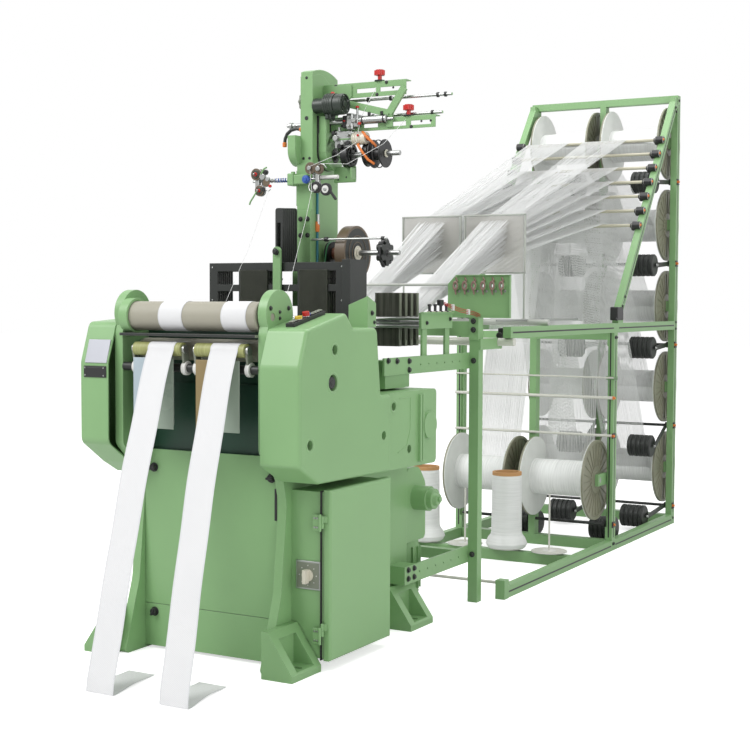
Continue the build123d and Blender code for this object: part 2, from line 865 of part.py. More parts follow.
needle_t = 6.0
needle_spindle_r = 6.0
breast_top_z = tie_sizes[0][3]
arc_steps = 9
for name, head_x, side in (("weft_needle_left", head_left_x, 1), ("weft_needle_right", head_right_x, -1)):
    pivot_x = head_x + side * needle_side
    needle_low_z = needle_z + (0 if side > 0 else needle_step)
    angles = [math.radians(12 + n * 72 / arc_steps) for n in range(arc_steps + 1)]
    outer_arc = [(needle_reach + needle_blade / 2, a) for a in angles]
    inner_arc = [(needle_reach - needle_blade / 2, a) for a in reversed(angles)]
    corners = [
        Vector(pivot_x + side * r * math.cos(a), needle_pivot_y + r * math.sin(a), needle_low_z)
        for r, a in outer_arc + inner_arc
    ]
    sickle = Solid.extrude(Face(Wire.make_polygon(corners, close=True)), Vector(0, 0, needle_t))
    turn = 18 if side > 0 else 162
    spoke_place = Pos(pivot_x, needle_pivot_y, needle_low_z + needle_t / 2) * Rot(0, 0, turn)
    spoke = spoke_place * Pos(needle_reach / 2, 0, 0) * Box(needle_reach, 9, needle_t)
    spindle = rod_z(breast_top_z + 0.3, needle_low_z + needle_t + 4, pivot_x, needle_pivot_y, needle_spindle_r)
    save(name, spindle + spoke + sickle)

# Main shaft low in the body, with a grooved pulley and two eccentrics

main_shaft = rod_x(left_in - journal_reach, right_in + journal_reach, main_y, main_z, main_r)
for x in (left_in + 60, right_in - 100):
    main_shaft += rod_x(x, x + 24, main_y + 14, main_z, 46)
pulley_x = loom_mid + 40
pulley_profile = [
    (pulley_x, 0),
    (pulley_x, 90),
    (pulley_x + 6, 90),
    (pulley_x + 18, 74),
    (pulley_x + 30, 90),
    (pulley_x + 36, 90),
    (pulley_x + 36, 0),
]
main_shaft += turned_x(pulley_profile, main_y, main_z)
save("main_shaft", main_shaft)

# Drive: a flange-mounted gear housing behind the right plate with a finned motor below

drive_y = 1010.0
drive_x1 = right_out
drive_x0 = drive_x1 - 46
motor_x = drive_x0 - 14
housing_points = [
    (plate_rear, 268),
    (drive_y + 62, 268, 20),
    (drive_y + 62, 470, 50),
    (drive_y + 10, 532, 50),
    (plate_rear, 532, 20),
]
gear_housing = plate_yz(housing_points, drive_x0, drive_x1)
gear_housing += block(drive_x0, drive_x0 + 22, plate_rear - 8, plate_rear, 268, 532)
gear_housing -= block(drive_x0 - 1, right_out + 1, plate_rear - 12, plate_rear, 200, 560)
boss_steps = [(0, 44), (58, 44), (58, 36), (78, 36), (78, 26), (92, 20), (92, 10), (100, 10), (100, 0), (0, 0)]
gear_housing += turned_x([(drive_x1 - 1 + x, r) for x, r in boss_steps], drive_y - 12, 422)
motor = rod_z(84, 268, motor_x, drive_y, 58)
fin_count = 14
for n in range(fin_count):
    angle = n * 360 / fin_count
    fin = Pos(motor_x, drive_y, 170) * Rot(0, 0, angle) * Pos(60, 0, 0) * Box(14, 4, 150)
    motor += fin
bowl_points = [(0, 20), (30, 20), (52, 44), (60, 84), (0, 84)]
bowl_face = Face(Wire.make_polygon([Vector(r, 0, z) for r, z in bowl_points], close=True))
motor += Pos(motor_x, drive_y, 0) * Solid.revolve(bowl_face, 360, Axis.Z)
save("drive_motor", gear_housing + motor)

# Column that carries the weft feeding gear: a folded box with a round-topped side plate

tower_x1 = tower_left_x + tower_w
tower_back_y = tower_y + tower_depth
tower_points = [
    (tower_y, tower_low_z),
    (tower_back_y, tower_low_z),
    (tower_back_y, tower_top_z - 60, 50),
    (tower_y + 60, tower_top_z, 50),
    (tower_y, tower_top_z - 14),
]
tower = plate_yz(tower_points, tower_left_x, tower_x1)
tower -= block(tower_left_x - 1, tower_x1 - 5, tower_y + 5, tower_back_y + 1, tower_low_z + 40, tower_top_z - 90)
bracket_x0 = tower_left_x - 24
tower += block(bracket_x0, tower_x1, tower_y - 12, tower_y, 1100, 1425)
housing_t = 35.0
housing_half = 62.5
housing_y = feed_y + 2
housing_z = 1627.0
housing_top = lower_arm_z - 3


def round_housing(x0, x1, y, z_top, half):
    body = rod_x(x0, x1, y, housing_z, half)
    return body + block(x0, x1, y - half, y + half, housing_z, z_top)


right_housing = round_housing(tower_x1, tower_x1 + housing_t, housing_y, housing_top, housing_half)
axle_r = 8.0
right_housing -= rod_x(tower_x1 + 6, tower_x1 + housing_t + 1, feed_y, reel_z, axle_r + running_gap)
left_housing = round_housing(tower_left_x - 30, tower_left_x, tower_y + 18, housing_top - 10, 52)
bearing = rod_x(tower_x1, tower_x1 + 14, feed_y, disc_axis_z, 24)
tower += right_housing + left_housing + bearing
tower -= rod_x(tower_x1 - 3, tower_x1 + 15, feed_y, disc_axis_z, axle_r + running_gap)
save("tower_column", tower)

# Feeder arms: two slotted channels, braces, guide rods and rollers on the column

arm_y0 = feed_y - 18
arm_y1 = feed_y + 18
arm_wall = 3.0


def slotted_channel(x0, x1, z0, z1, slots):
    channel = block(x0, x1, arm_y0, arm_y1, z0, z1)
    channel -= block(x0 - 1, x1 + 1, arm_y0 + arm_wall, arm_y1 + 1, z0 - 1, z1 - arm_wall)
    for s0, s1 in slots:
        z_mid = (z0 + z1) / 2 - 3
        channel -= block(s0, s1, arm_y0 - 1, arm_y0 + arm_wall + 1, z_mid - 7, z_mid + 7)
    return channel


upper_top = upper_arm_z + upper_arm_h
upper_slots = ((122, 196), (212, 292))
upper_arm = slotted_channel(tower_x1, upper_arm_end, upper_arm_z, upper_top, upper_slots)
housing_face = tower_x1 + housing_t
lower_top = lower_arm_z + lower_arm_h
lower_slots = ((150, 204), (250, 310), (328, 402))
lower_arm = slotted_channel(housing_face, lower_arm_end, lower_arm_z, lower_top, lower_slots)
gusset_y0 = arm_y0 - 5
gusset = plate_xz(
    [(tower_x1, upper_arm_z - 60), (60, upper_arm_z - 40), (104, upper_arm_z + 4), (104, upper_top - 6), (tower_x1, upper_top - 6)],
    gusset_y0,
    arm_y0,
)
brace_mid = (250, lower_top + 12)


def brace(start, end):
    run = Vector(end[0] - start[0], 0, end[1] - start[1]).normalized()
    side = Vector(-run.Z, 0, run.X) * 12
    a = Vector(start[0], gusset_y0 - 5, start[1])
    b = Vector(end[0], gusset_y0 - 5, end[1])
    face = Face(Wire.make_polygon([a - side, b - side, b + side, a + side], close=True))
    return Solid.extrude(face, Vector(0, 10, 0))


arms = upper_arm + gusset
arms += brace((70, upper_arm_z - 14), brace_mid)
arms += brace(brace_mid, (306, upper_arm_z + 22))
arms += lower_arm + block(240, 262, gusset_y0 - 2, arm_y0 + 1, lower_arm_z + 8, brace_mid[1] + 4)
rod_y0 = feed_y + 6
arms += rod_x(tower_x1, guide_rod_end, rod_y0, upper_arm_z - 6, 4.5)
arms += rod_x(tower_x1, 434, rod_y0, lower_top + 9, 4.5)
cylinder_z = lower_top - 6
cylinder_x = housing_face + 113
arms += rod_x(housing_face, cylinder_x + 10, rod_y0 - 34, cylinder_z, 9)
arms += rod_x(cylinder_x, cylinder_x + 104, rod_y0 - 34, cylinder_z, 13)
arms += rod_x(tower_x1, 235, tower_y - 6, 1325, 3)
guide_roller_z = lower_arm_z - 25
guide_roller_x = housing_face + 91
arms += rod_x(housing_face, guide_roller_x + 40, feed_y - 30, guide_roller_z, 5)
arms += rod_x(guide_roller_x, guide_roller_x + 36, feed_y - 30, guide_roller_z, 20)
save("feeder_arms", arms)

# Small black gear motor on the column's right face

hub_z = 1776.0
hub_y = arm_y0 - 54.0
hub_profile = [
    (tower_x1, 0),
    (tower_x1, 24),
    (tower_x1 + 8, 24),
    (tower_x1 + 8, 19),
    (tower_x1 + 46, 19),
    (tower_x1 + 46, 37),
    (tower_x1 + 84, 37),
    (tower_x1 + 84, 26),
    (tower_x1 + 92, 26),
    (tower_x1 + 92, 8),
    (tower_x1 + 104, 8),
    (tower_x1 + 104, 0),
]
save("feeder_motor", turned_x(hub_profile, hub_y, hub_z))

# Reel for the feed belt on its own axle

reel_x = (182.0, 221.0)
reel_profile = [
    (tower_x1 + 8, 0),
    (tower_x1 + 8, axle_r),
    (70, axle_r),
    (70, 34),
    (76, 41),
    (88, 41),
    (94, 34),
    (94, axle_r),
    (reel_x[0] - 4, axle_r),
    (reel_x[0] - 4, reel_r),
    (reel_x[0], reel_r),
    (reel_x[0] + 3, 22),
    (reel_x[1] - 3, 22),
    (reel_x[1], reel_r),
    (reel_x[1] + 4, reel_r),
    (reel_x[1] + 4, axle_r),
    (278, axle_r),
    (278, 0),
]
save("feed_reel", turned_x(reel_profile, feed_y, reel_z))

# Large weft disc with a small pulley and a lobed handwheel on the same shaft

disc_shaft_end = 279.0
star_x = 212.0
weft_profile = [
    (tower_x1 - 2, 0),
    (tower_x1 - 2, axle_r),
    (tower_x1 + 16, axle_r),
    (tower_x1 + 16, 38),
    (tower_x1 + 32, 38),
    (tower_x1 + 32, 20),
    (80, 20),
    (80, weft_disc_r - 5),
    (85, weft_disc_r),
    (112, weft_disc_r),
    (117, weft_disc_r - 5),
    (117, axle_r),
    (disc_shaft_end, axle_r),
    (disc_shaft_end, 0),
]
weft_disc = turned_x(weft_profile, feed_y, disc_axis_z)
star = rod_x(star_x, star_x + 22, feed_y, disc_axis_z, 30)
lobe_count = 6
for n in range(lobe_count):
    angle = math.radians(n * 360 / lobe_count)
    star += rod_x(star_x, star_x + 22, feed_y + 34 * math.sin(angle), disc_axis_z + 34 * math.cos(angle), 11)
weft_disc += star
save("weft_disc", weft_disc)

# Red star knobs that clamp the channels

for name, x, top in (("arm_knob_upper", 205.0, upper_top), ("arm_knob_lower", 315.0, lower_top)):
    knob_y = feed_y - 8
    star_knob = rod_z(top + 0.3, top + 22, x, knob_y, 7)
    star_knob += rod_z(top + 20, top + 36, x, knob_y, 14)
    for n in range(5):
        angle = math.radians(n * 72)
        star_knob += rod_z(top + 20, top + 36, x + 13 * math.cos(angle), knob_y + 13 * math.sin(angle), 6)
    save(name, star_knob)

# Thread tensioners on a sprung rod across the column's front, and the lead down its face

tension_y = tower_y - 24
tension_z = 1527.0
rod_r = 4.0
tension = rod_x(-232, 92, tension_y, tension_z, rod_r)
tension += block(bracket_x0 - 2, tower_x1, tension_y - 10, tower_y, tension_z - 14, tension_z + 14)
for n in range(6):
    tension += rod_x(-186 + n * 13, -180 + n * 13, tension_y, tension_z, 7)
for x, rise in ((-206, 22), (-192, -34), (12, 34), (34, -30)):
    tension += rod_y(tension_y - 20, tension_y + 6, x, tension_z + rise, 4)
    tension += rod_y(tension_y - 18, tension_y - 15, x, tension_z + rise, 19)
    tension += rod_y(tension_y - 12, tension_y - 9, x, tension_z + rise, 19)
    low = min(tension_z, tension_z + rise)
    high = max(tension_z, tension_z + rise)
    tension += block(x - 4, x + 4, tension_y - 3, tension_y + 3, low, high)
lead_r = 3.5
lead_x = tower_x1 + lead_r
lead_y = tower_y + 26
lead = rod_z(1240, 1500, lead_x, lead_y, lead_r)
lead += rod_z(1376, 1412, lead_x + 2.6, lead_y, 6)
save("thread_tensioners", tension, lead)

# Rear frame: side rails, posts, a cross bar and the brackets on the side plates

mirror_x = 2 * loom_mid


def both_sides(x0, x1, y0, y1, z0, z1):
    return [block(x0, x1, y0, y1, z0, z1), block(mirror_x - x1, mirror_x - x0, y0, y1, z0, z1)]


def joined(*shapes):
    whole = shapes[0]
    for shape in shapes[1:]:
        whole += shape
    return whole


post_x0 = rail_x + rail_t
post_y0 = rail_end_y - post_size
rail_hole_r = 3.5
rail_hole_pitch = 62.0


def side_frame(side):
    def place(x0, x1, y0, y1, z0, z1):
        return both_sides(x0, x1, y0, y1, z0, z1)[0 if side > 0 else 1]

    high = place(rail_x, rail_x + rail_t, rail_start_y - 150, rail_end_y, rail_high_z, rail_high_z + rail_high_h)
    low = place(rail_x, rail_x + rail_t, rail_start_y, rail_end_y, rail_low_z, rail_low_z + rail_low_h)
    post = place(post_x0, post_x0 + post_size, post_y0, rail_end_y, 0, post_top_z)
    hollow = 3.0
    post -= place(
        post_x0 + hollow,
        post_x0 + post_size - hollow,
        post_y0 + hollow,
        rail_end_y - hollow,
        -1,
        post_top_z - hollow,
    )
    upper_seat = place(right_out, rail_x, rail_start_y - 130, rail_start_y + 40, rail_high_z - 44, plate_deck_z - 6)
    upper_tab = place(right_out, rail_x, rail_start_y - 130, rail_start_y + 40, plate_deck_z - 6, rail_high_z + 50)
    lower_seat = place(right_out, rail_x, rail_start_y, rail_start_y + 90, rail_low_z, rail_low_z + rail_low_h)
    frame = joined(high, low, post, upper_seat, upper_tab, lower_seat)
    for z in (rail_high_z + rail_high_h / 2, rail_low_z + rail_low_h / 2):
        for n in range(6):
            y = rail_start_y + 110 + n * rail_hole_pitch
            x = rail_x if side > 0 else mirror_x - rail_x - rail_t
            frame -= rod_x(x - 1, x + rail_t + 1, y, z, rail_hole_r)
    return frame


cross_z0 = 990.0
cross_bar = block(mirror_x - post_x0, post_x0, post_y0, post_y0 + 30, cross_z0, cross_z0 + 55)
tube_y = side_rail_front_y + 22
tube_z = side_rail_low_z - tube_r
link_x = post_x0 + post_size
links = []
for x0 in (link_x, mirror_x - link_x - 8):
    link = block(x0, x0 + 8, post_y0, tube_y + 30, tube_z - 26, tube_z + tube_r)
    links.append(link - rod_x(x0 - 1, x0 + 9, tube_y, tube_z, tube_r + seat_gap))
low_cross = block(mirror_x - rail_x, rail_x, post_y0, post_y0 + 30, rail_low_z, rail_low_z + 40)
save("rear_frame", joined(side_frame(1), side_frame(-1), cross_bar, low_cross, *links))

# Bars for the drop wires, lying across from rail to rail

dropper_bar_ys = (dropper_y - 66, dropper_y - 22, dropper_y + 22, dropper_y + 66)
bar_h = 22.0
bar_half = 2.0
stand_t = 8.0
stand_y0 = dropper_y - 135
stand_y1 = dropper_y + 101
stand_leg = 34.0
stands = []
for x0, x1 in ((rail_x - stand_t, rail_x), (mirror_x - rail_x, mirror_x - rail_x + stand_t)):
    stand = block(x0, x1, stand_y0, stand_y1, dropper_z - 8, dropper_z + bar_h + 26)
    for y0 in (stand_y0 + 12, stand_y1 - 12 - stand_leg):
        stand += block(x0, x1, y0, y0 + stand_leg, rail_high_z, dropper_z)
    stands.append(stand)
dropper = []
for y in dropper_bar_ys:
    dropper.append(block(mirror_x - rail_x + stand_t, rail_x - stand_t, y - bar_half, y + bar_half, dropper_z, dropper_z + bar_h))
save("dropper_bars", *stands, *dropper)

# Drop wires: thin strips that straddle the bars in two packs

strip_count = 13
strip_pitch = 12.0
strip_t = 7.0
wires = []
wire_half = 9.0
wire_gap = 0.3
for head_x in head_xs:
    for y in dropper_bar_ys:
        for n in range(strip_count):
            x = head_x + 20 + (n - (strip_count - 1) / 2) * strip_pitch
            wire = block(x - strip_t / 2, x + strip_t / 2, y - wire_half, y + wire_half, dropper_z - 88, dropper_z + bar_h + 70)
            slot = block(
                x - strip_t / 2 - 1,
                x + strip_t / 2 + 1,
                y - bar_half - wire_gap,
                y + bar_half + wire_gap,
                dropper_z - 40,
                dropper_z + bar_h + wire_gap,
            )
            wires.append(wire - slot)
save("drop_wires", *wires)

# Panel with thread eyes on the rear post

eye_panel_x0 = 196.0
eye_panel_w = 254.0
eye_panel_z0 = 1058.0
eye_panel_h = 158.0
eye_y0 = rail_end_y - post_size - 4
eye_panel = block(
    eye_panel_x0, eye_panel_x0 + eye_panel_w, eye_y0, eye_y0 + 4, eye_panel_z0, eye_panel_z0 + eye_panel_h
)
eye_panel += block(post_x0, post_x0 + post_size, eye_y0, eye_y0 + 4, post_top_z - 90, eye_panel_z0 + 1)
eye_chamfer = 34.0
panel_top = eye_panel_z0 + eye_panel_h
corner = [
    (eye_panel_x0 - 1, panel_top - eye_chamfer),
    (eye_panel_x0 + eye_chamfer, panel_top + 1),
    (eye_panel_x0 - 1, panel_top + 1),
]
eye_panel -= plate_xz(corner, eye_y0 - 1, eye_y0 + 5)
eye_count = 6
eye_pitch = 37.0
for n in range(eye_count):
    x = eye_panel_x0 + 36 + n * eye_pitch
    z = eye_panel_z0 + 118
    eye_panel += rod_y(eye_y0 - 10, eye_y0, x, z, 13)
    eye_panel -= rod_y(eye_y0 - 11, eye_y0 + 5, x, z, 7)
save("eyelet_panel", eye_panel)

# Lease reeds: two open frames with upright wires, on legs from a cross tube

lease_y = 1800.0
lease_t = 12.0
lease_z0 = 1230.0
lease_z1 = 1470.0
lease_bar = 12.0
lease_wires = 22
rail_top_z = side_rail_low_z + side_rail_h
lease_pieces = []
for x0, x1 in ((-272.0, 0.0), (14.0, 286.0)):
    reed = block(x0, x1, lease_y, lease_y + lease_t, lease_z0, lease_z1)
    step = (x1 - x0 - 2 * lease_bar) / lease_wires
    for n in range(lease_wires):
        x = x0 + lease_bar + n * step
        reed -= block(x + 0.8, x + step - 0.8, lease_y - 1, lease_y + lease_t + 1, lease_z0 + lease_bar, lease_z1 - lease_bar)
    for x in (x0 + 3, x1 - 9):
        reed += block(x, x + 6, lease_y + 3, lease_y + 9, rail_top_z + 24, lease_z0)
    lease_pieces.append(reed)
lease_tube = rod_x(-creel_half, creel_half, lease_y + 6, rail_top_z + 12, 12)
save("lease_reeds", lease_pieces[0] + lease_pieces[1] + lease_tube)

# Creel sides: base beam, posts, top rail and the slanted arm, with bearing blocks

beam_rows_z = [beam_first_z + n * beam_pitch for n in range(beam_rows)]
bearing_bore_r = spindle_r + running_gap
bay = creel_half - channel_w - channel_w / 2
beam_mid_right = channel_w / 2 + bay / 2
block_t = (bay - beam_l) / 2 - 2.0


def bearings(x0, x1):
    blocks = []
    for z in beam_rows_z:
        seat = block(x0, x1, beam_y - bearing_size / 2, beam_y + bearing_size / 2, z - bearing_size / 2, z + bearing_size / 2)
        blocks.append(seat - rod_x(x0 - 1, x1 + 1, beam_y, z, bearing_bore_r))
    front = block(
        x0,
        x1,
        beam_front_y - bearing_size / 2,
        creel_post_y + 20,
        beam_front_z - bearing_size / 2,
        beam_front_z + bearing_size / 2,
    )
    blocks.append(front - rod_x(x0 - 1, x1 + 1, beam_front_y, beam_front_z, bearing_bore_r))
    return blocks


back_post_y1 = creel_back_y + channel_d


def posts(x0, x1, front_top):
    back = block(x0, x1, creel_back_y, back_post_y1, 0, creel_top_z)
    front = block(x0, x1, creel_post_y, creel_post_y + channel_d, base_h, front_top)
    return back, front


def creel_side(side):
    x_in = side * (creel_half - channel_w)
    x0 = min(x_in, side * creel_half)
    x1 = max(x_in, side * creel_half)
    back, front = posts(x0, x1, side_rail_low_z)
    base = block(x0, x1, creel_front_y, creel_back_y, 0, base_h)
    rail = block(x0, x1, side_rail_front_y, creel_back_y, side_rail_low_z, rail_top_z)
    cap = block(x0 - 3, x1 + 3, creel_front_y - 2, creel_front_y + 38, 0, base_h + 26)
    arm = slanted_bar((arm_foot_y, arm_foot_z), (arm_head_y, arm_head_z), 38, x0, x1)
    foot = block(x0 + 2, x1 - 2, arm_foot_y - 34, arm_foot_y + 34, rail_top_z, arm_foot_z + 16)
    head = block(x0 + 2, x1 - 2, arm_head_y - 20, creel_back_y, arm_head_z - 26, arm_head_z + 26)
    near = x_in - side * block_t
    mounts = bearings(min(x_in, near), max(x_in, near))
    groove_x = x0 if side > 0 else x1 - 8
    frame = joined(back, front, base, rail, cap, arm, foot, head, *mounts)
    groove = block(groove_x - 1, groove_x + 9, creel_post_y - 1, creel_post_y + 12, base_h + 60, side_rail_low_z - 60)
    return frame - (groove - mounts[-1])


save("creel_side_right", creel_side(1))
save("creel_side_left", creel_side(-1))

# Creel middle: middle posts, base cross beams, top beam and the cross bars

inner_half = creel_half - channel_w
mid_back, mid_front = posts(-channel_w / 2, channel_w / 2, side_rail_low_z)
cross_beams = [
    block(-inner_half, inner_half, creel_post_y, creel_post_y + channel_d, 0, base_h),
    block(-inner_half, inner_half, creel_back_y, back_post_y1, 0, base_h),
    block(-inner_half, inner_half, cone_beam_y - 20, cone_beam_y + 20, 0, cone_beam_h),
    block(-inner_half, inner_half, creel_back_y, back_post_y1, creel_top_z - 34, creel_top_z),
    block(-inner_half, inner_half, creel_post_y, creel_post_y + channel_w, side_rail_low_z - 32, side_rail_low_z),
]
mid_right = bearings(channel_w / 2, channel_w / 2 + block_t)
mid_left = bearings(-channel_w / 2 - block_t, -channel_w / 2)
creel_middle = joined(mid_back, mid_front, *cross_beams, *mid_right, *mid_left)
save("creel_middle", creel_middle)


# Steel rods of the creel: guide bars, front rods and the pins for yarn cones

def arm_point(z):
    share = (z - arm_foot_z) / (arm_head_z - arm_foot_z)
    return arm_foot_y + share * (arm_head_y - arm_foot_y)


guide_bars = []
guide_places = []
bar_end = inner_half - 3
for n in range(guide_bar_count):
    z = guide_bar_top_z - n * guide_bar_pitch
    y = arm_point(z) - guide_bar_offset
    guide_places.append((y, z))
    bar = rod_x(-bar_end, bar_end, y, z, guide_bar_r)
    for side in (-1, 1):
        x0 = min(side * (inner_half - 12), side * (creel_half - 4))
        x1 = max(side * (inner_half - 12), side * (creel_half - 4))
        bar += rod_x(x0, x1, y, z, 17)
    guide_bars.append(bar)
arm_faces = [slanted_bar((arm_foot_y, arm_foot_z), (arm_head_y, arm_head_z), 38, x0, x0 + channel_w) for x0 in (-creel_half, inner_half)]
guide_bars = [bar - arm_faces[0] - arm_faces[1] for bar in guide_bars]
for z, r in ((780, 4), (690, 7), (520, 6)):
    guide_bars.append(rod_x(-creel_half, creel_half, creel_post_y - r - seat_gap, z, r))
guide_bars.append(rod_x(-inner_half, inner_half, creel_front_y + 60, 50, 6))
guide_bars.append(rod_x(-creel_half - 6, creel_half + 6, tube_y, tube_z, tube_r))
for n in range(cone_pin_count):
    x = cone_pin_x + n * cone_pin_pitch
    pin = rod_z(cone_beam_h, 300, x, cone_beam_y, cone_pin_r)
    pin += rod_z(cone_beam_h, cone_beam_h + 10, x, cone_beam_y, 30)
    pin += rod_z(cone_beam_h + 10, cone_base_z, x, cone_beam_y, 76)
    guide_bars.append(pin)
save("guide_rods", *guide_bars)

# Rope-brake levers with stacked weights, one under each warp beam, on rods across the bays

weight_r = 54.0
weight_l = 118.0
weight_grooves = 4
weight_y = creel_back_y - 165.0
low_weight_y = creel_back_y - 262.0
lever_t = 6.0
lever_gap = 4.0
lever_drop = 193.0
pivot_r = 7.0
lever_pivot_y = creel_back_y + 12


def brake(x_post, y_pivot, z_pivot, y_weight, z_weight):
    """A lever just left of a post's left face, with its rod across the bay."""
    x1 = x_post - lever_gap
    x0 = x1 - lever_t
    lever = slanted_bar((y_pivot, z_pivot), (y_weight, z_weight), 22, x0, x1)
    lever += rod_x(x0, x1, y_pivot, z_pivot, 15)
    pivot = rod_x(x_post - bay, x_post, y_pivot, z_pivot, pivot_r)
    near = x0 - 8
    far = near - weight_l
    bar = rod_x(far - 10, x0, y_weight, z_weight, 5)
    step = weight_l / (weight_grooves + 1)
    profile = [(far, 0)]
    for n in range(weight_grooves + 1):
        x = far + n * step
        profile.extend(((x + 1, weight_r - 5), (x + 5, weight_r), (x + step - 5, weight_r), (x + step - 1, weight_r - 5)))
    profile.append((near, 0))
    return joined(lever, pivot, bar, turned_x(profile, y_weight, z_weight))


brakes = []
for row, z in enumerate(beam_rows_z):
    lever_z = z - lever_drop
    weight_place = (weight_y, lever_z - 12)
    if row == 0:
        weight_place = (low_weight_y, weight_r + 16)
    if row == 1:
        weight_place = (weight_y, lever_z - 92)
    for x in (inner_half, -channel_w / 2):
        brakes.append(brake(x, lever_pivot_y, lever_z, *weight_place))
front_lever_z = 118.0
for x in (inner_half, -channel_w / 2):
    brakes.append(brake(x, creel_post_y + 12, front_lever_z, creel_post_y + 196, weight_r + 16))
save("brake_weights", *brakes)


# Warp beams: flanged bobbins full of yarn on spindles, two in each row

def warp_beam(x_mid, y, z):
    half = beam_l / 2
    reach = half + 2 + block_t - 1
    profile = [
        (x_mid - reach, 0),
        (x_mid - reach, spindle_r),
        (x_mid - half - 1, spindle_r),
        (x_mid - half - 1, 34),
        (x_mid - half + 5, 44),
        (x_mid - half + 5, flange_r - 14),
        (x_mid - half, flange_r - 12),
        (x_mid - half, flange_r),
        (x_mid - half + flange_t, flange_r),
        (x_mid - half + flange_t, yarn_r),
        (x_mid + half - flange_t, yarn_r),
        (x_mid + half - flange_t, flange_r),
        (x_mid + half, flange_r),
        (x_mid + half, flange_r - 12),
        (x_mid + half - 5, flange_r - 14),
        (x_mid + half - 5, 44),
        (x_mid + half + 1, 34),
        (x_mid + half + 1, spindle_r),
        (x_mid + reach, spindle_r),
        (x_mid + reach, 0),
    ]
    return turned_x(profile, y, z)


beam_mid_x = {"left": -beam_mid_right, "right": beam_mid_right}
for side, x_mid in beam_mid_x.items():
    for row, z in enumerate(reversed(beam_rows_z), start=1):
        save(f"warp_beam_{side}_{row}", warp_beam(x_mid, beam_y, z))
    save(f"warp_beam_{side}_front", warp_beam(x_mid, beam_front_y, beam_front_z))

# Yarn cones on their pins: tall tubes of yarn with a collapsed skirt

cones = []
for n in (0, 2):
    x = cone_pin_x + n * cone_pin_pitch
    bore = cone_pin_r + 3
    cone_profile = [
        (bore, 0),
        (cone_r + 16, 0),
        (cone_r + 24, 16),
        (cone_r + 14, 40),
        (cone_r + 3, 54),
        (cone_r, 66),
        (cone_r - 2, cone_h - 24),
        (cone_r - 4, cone_h - 18),
        (cone_r - 4, cone_h),
        (cone_r - 14, cone_h),
        (cone_r - 14, cone_h - 60),
        (bore, cone_h - 60),
    ]
    face = Face(Wire.make_polygon([Vector(r, 0, z) for r, z in cone_profile], close=True))
    cones.append(Pos(x, cone_beam_y, cone_base_z + seat_gap) * Solid.revolve(face, 360, Axis.Z))
save("yarn_cones", *cones)

# Warp yarn: thin slabs from the beams up to the guide bars, then down to the lease reeds

sheet_w = 104.0
yarn_t = 1.6
yarn_gap = 1.0
yarn_inset = 62.0
row_bars = (0, 2, 3, 4, 5)
front_bar = 6
sheets = []


def yarn_run(sheet_x, head_x, y_start, z_start, bar, level):
    """One sheet of yarn: up to the back of its guide bar, then over it to the lease reed."""
    bar_y, bar_z = guide_places[bar]
    bar_back = bar_y + guide_bar_r + yarn_gap
    over_z = bar_z + guide_bar_r + yarn_gap + 3.5
    x0 = sheet_x - sheet_w / 2
    x1 = sheet_x + sheet_w / 2
    reach_z = lease_z1 - 30 - level * 28
    spread = 66 - level * 3
    lease_side = lease_y + lease_t + seat_gap
    rise = slab((x0, x1, y_start, z_start, yarn_t), (x0, x1, bar_back, over_z, yarn_t))
    fall = slab((x0, x1, bar_back - 4.4, over_z, 6.0), (head_x - spread, head_x + spread, lease_side, reach_z, 6.0))
    return rise + fall


lease_xs = (-136.0, 150.0)
for side, lease_x in ((-1, lease_xs[0]), (1, lease_xs[1])):
    sheet_x = side * beam_mid_right - yarn_inset
    for row, z in enumerate(reversed(beam_rows_z)):
        sheets.append(yarn_run(sheet_x, lease_x, beam_y - yarn_r - yarn_gap - yarn_t, z, row_bars[row], row))
    sheets.append(yarn_run(sheet_x, lease_x, beam_front_y + yarn_r + yarn_gap, beam_front_z, front_bar, beam_rows))
for head_x, lease_x in zip(head_xs, lease_xs):
    top_z = lease_z1 - 90
    top = (lease_x - 66, lease_x + 66, lease_y - seat_gap - 2.0, top_z, 2.0)
    bottom = (head_x - 28, head_x + 68, dropper_bar_ys[-1] + wire_half + seat_gap, dropper_z + bar_h + 20, 2.0)
    sheets.append(slab(bottom, top))
save("warp_yarn", *sheets)

print("origin", origin_x, origin_y, "nodes", len(os.listdir("parts")))
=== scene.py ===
import math
import random

import bpy
from mathutils import Matrix, Vector


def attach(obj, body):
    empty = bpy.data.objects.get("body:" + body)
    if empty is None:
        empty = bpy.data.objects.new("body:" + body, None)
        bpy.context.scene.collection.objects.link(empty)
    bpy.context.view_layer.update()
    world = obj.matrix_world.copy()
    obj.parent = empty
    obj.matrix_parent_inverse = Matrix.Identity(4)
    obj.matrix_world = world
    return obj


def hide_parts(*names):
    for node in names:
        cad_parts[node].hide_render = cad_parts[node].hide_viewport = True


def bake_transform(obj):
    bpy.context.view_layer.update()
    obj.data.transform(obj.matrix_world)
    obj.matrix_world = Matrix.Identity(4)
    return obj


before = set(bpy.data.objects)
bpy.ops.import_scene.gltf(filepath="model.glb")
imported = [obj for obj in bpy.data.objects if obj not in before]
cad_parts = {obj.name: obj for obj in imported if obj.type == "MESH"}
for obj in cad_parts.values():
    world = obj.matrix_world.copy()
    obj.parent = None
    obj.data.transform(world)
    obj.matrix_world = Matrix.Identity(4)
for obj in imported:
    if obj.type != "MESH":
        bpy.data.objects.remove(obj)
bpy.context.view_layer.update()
bpy.ops.object.select_all(action="DESELECT")

# The photograph's view: a long lens at the height of a standing person's chest, to the
# right of the ribbon side and turned left across the machine.


def at(x, y, z):
    """A point of the drawing, in millimetres from the creel's middle, the loom's front and the floor."""
    return Vector((x - 4.0, y - 1664.0, z)) / 1000


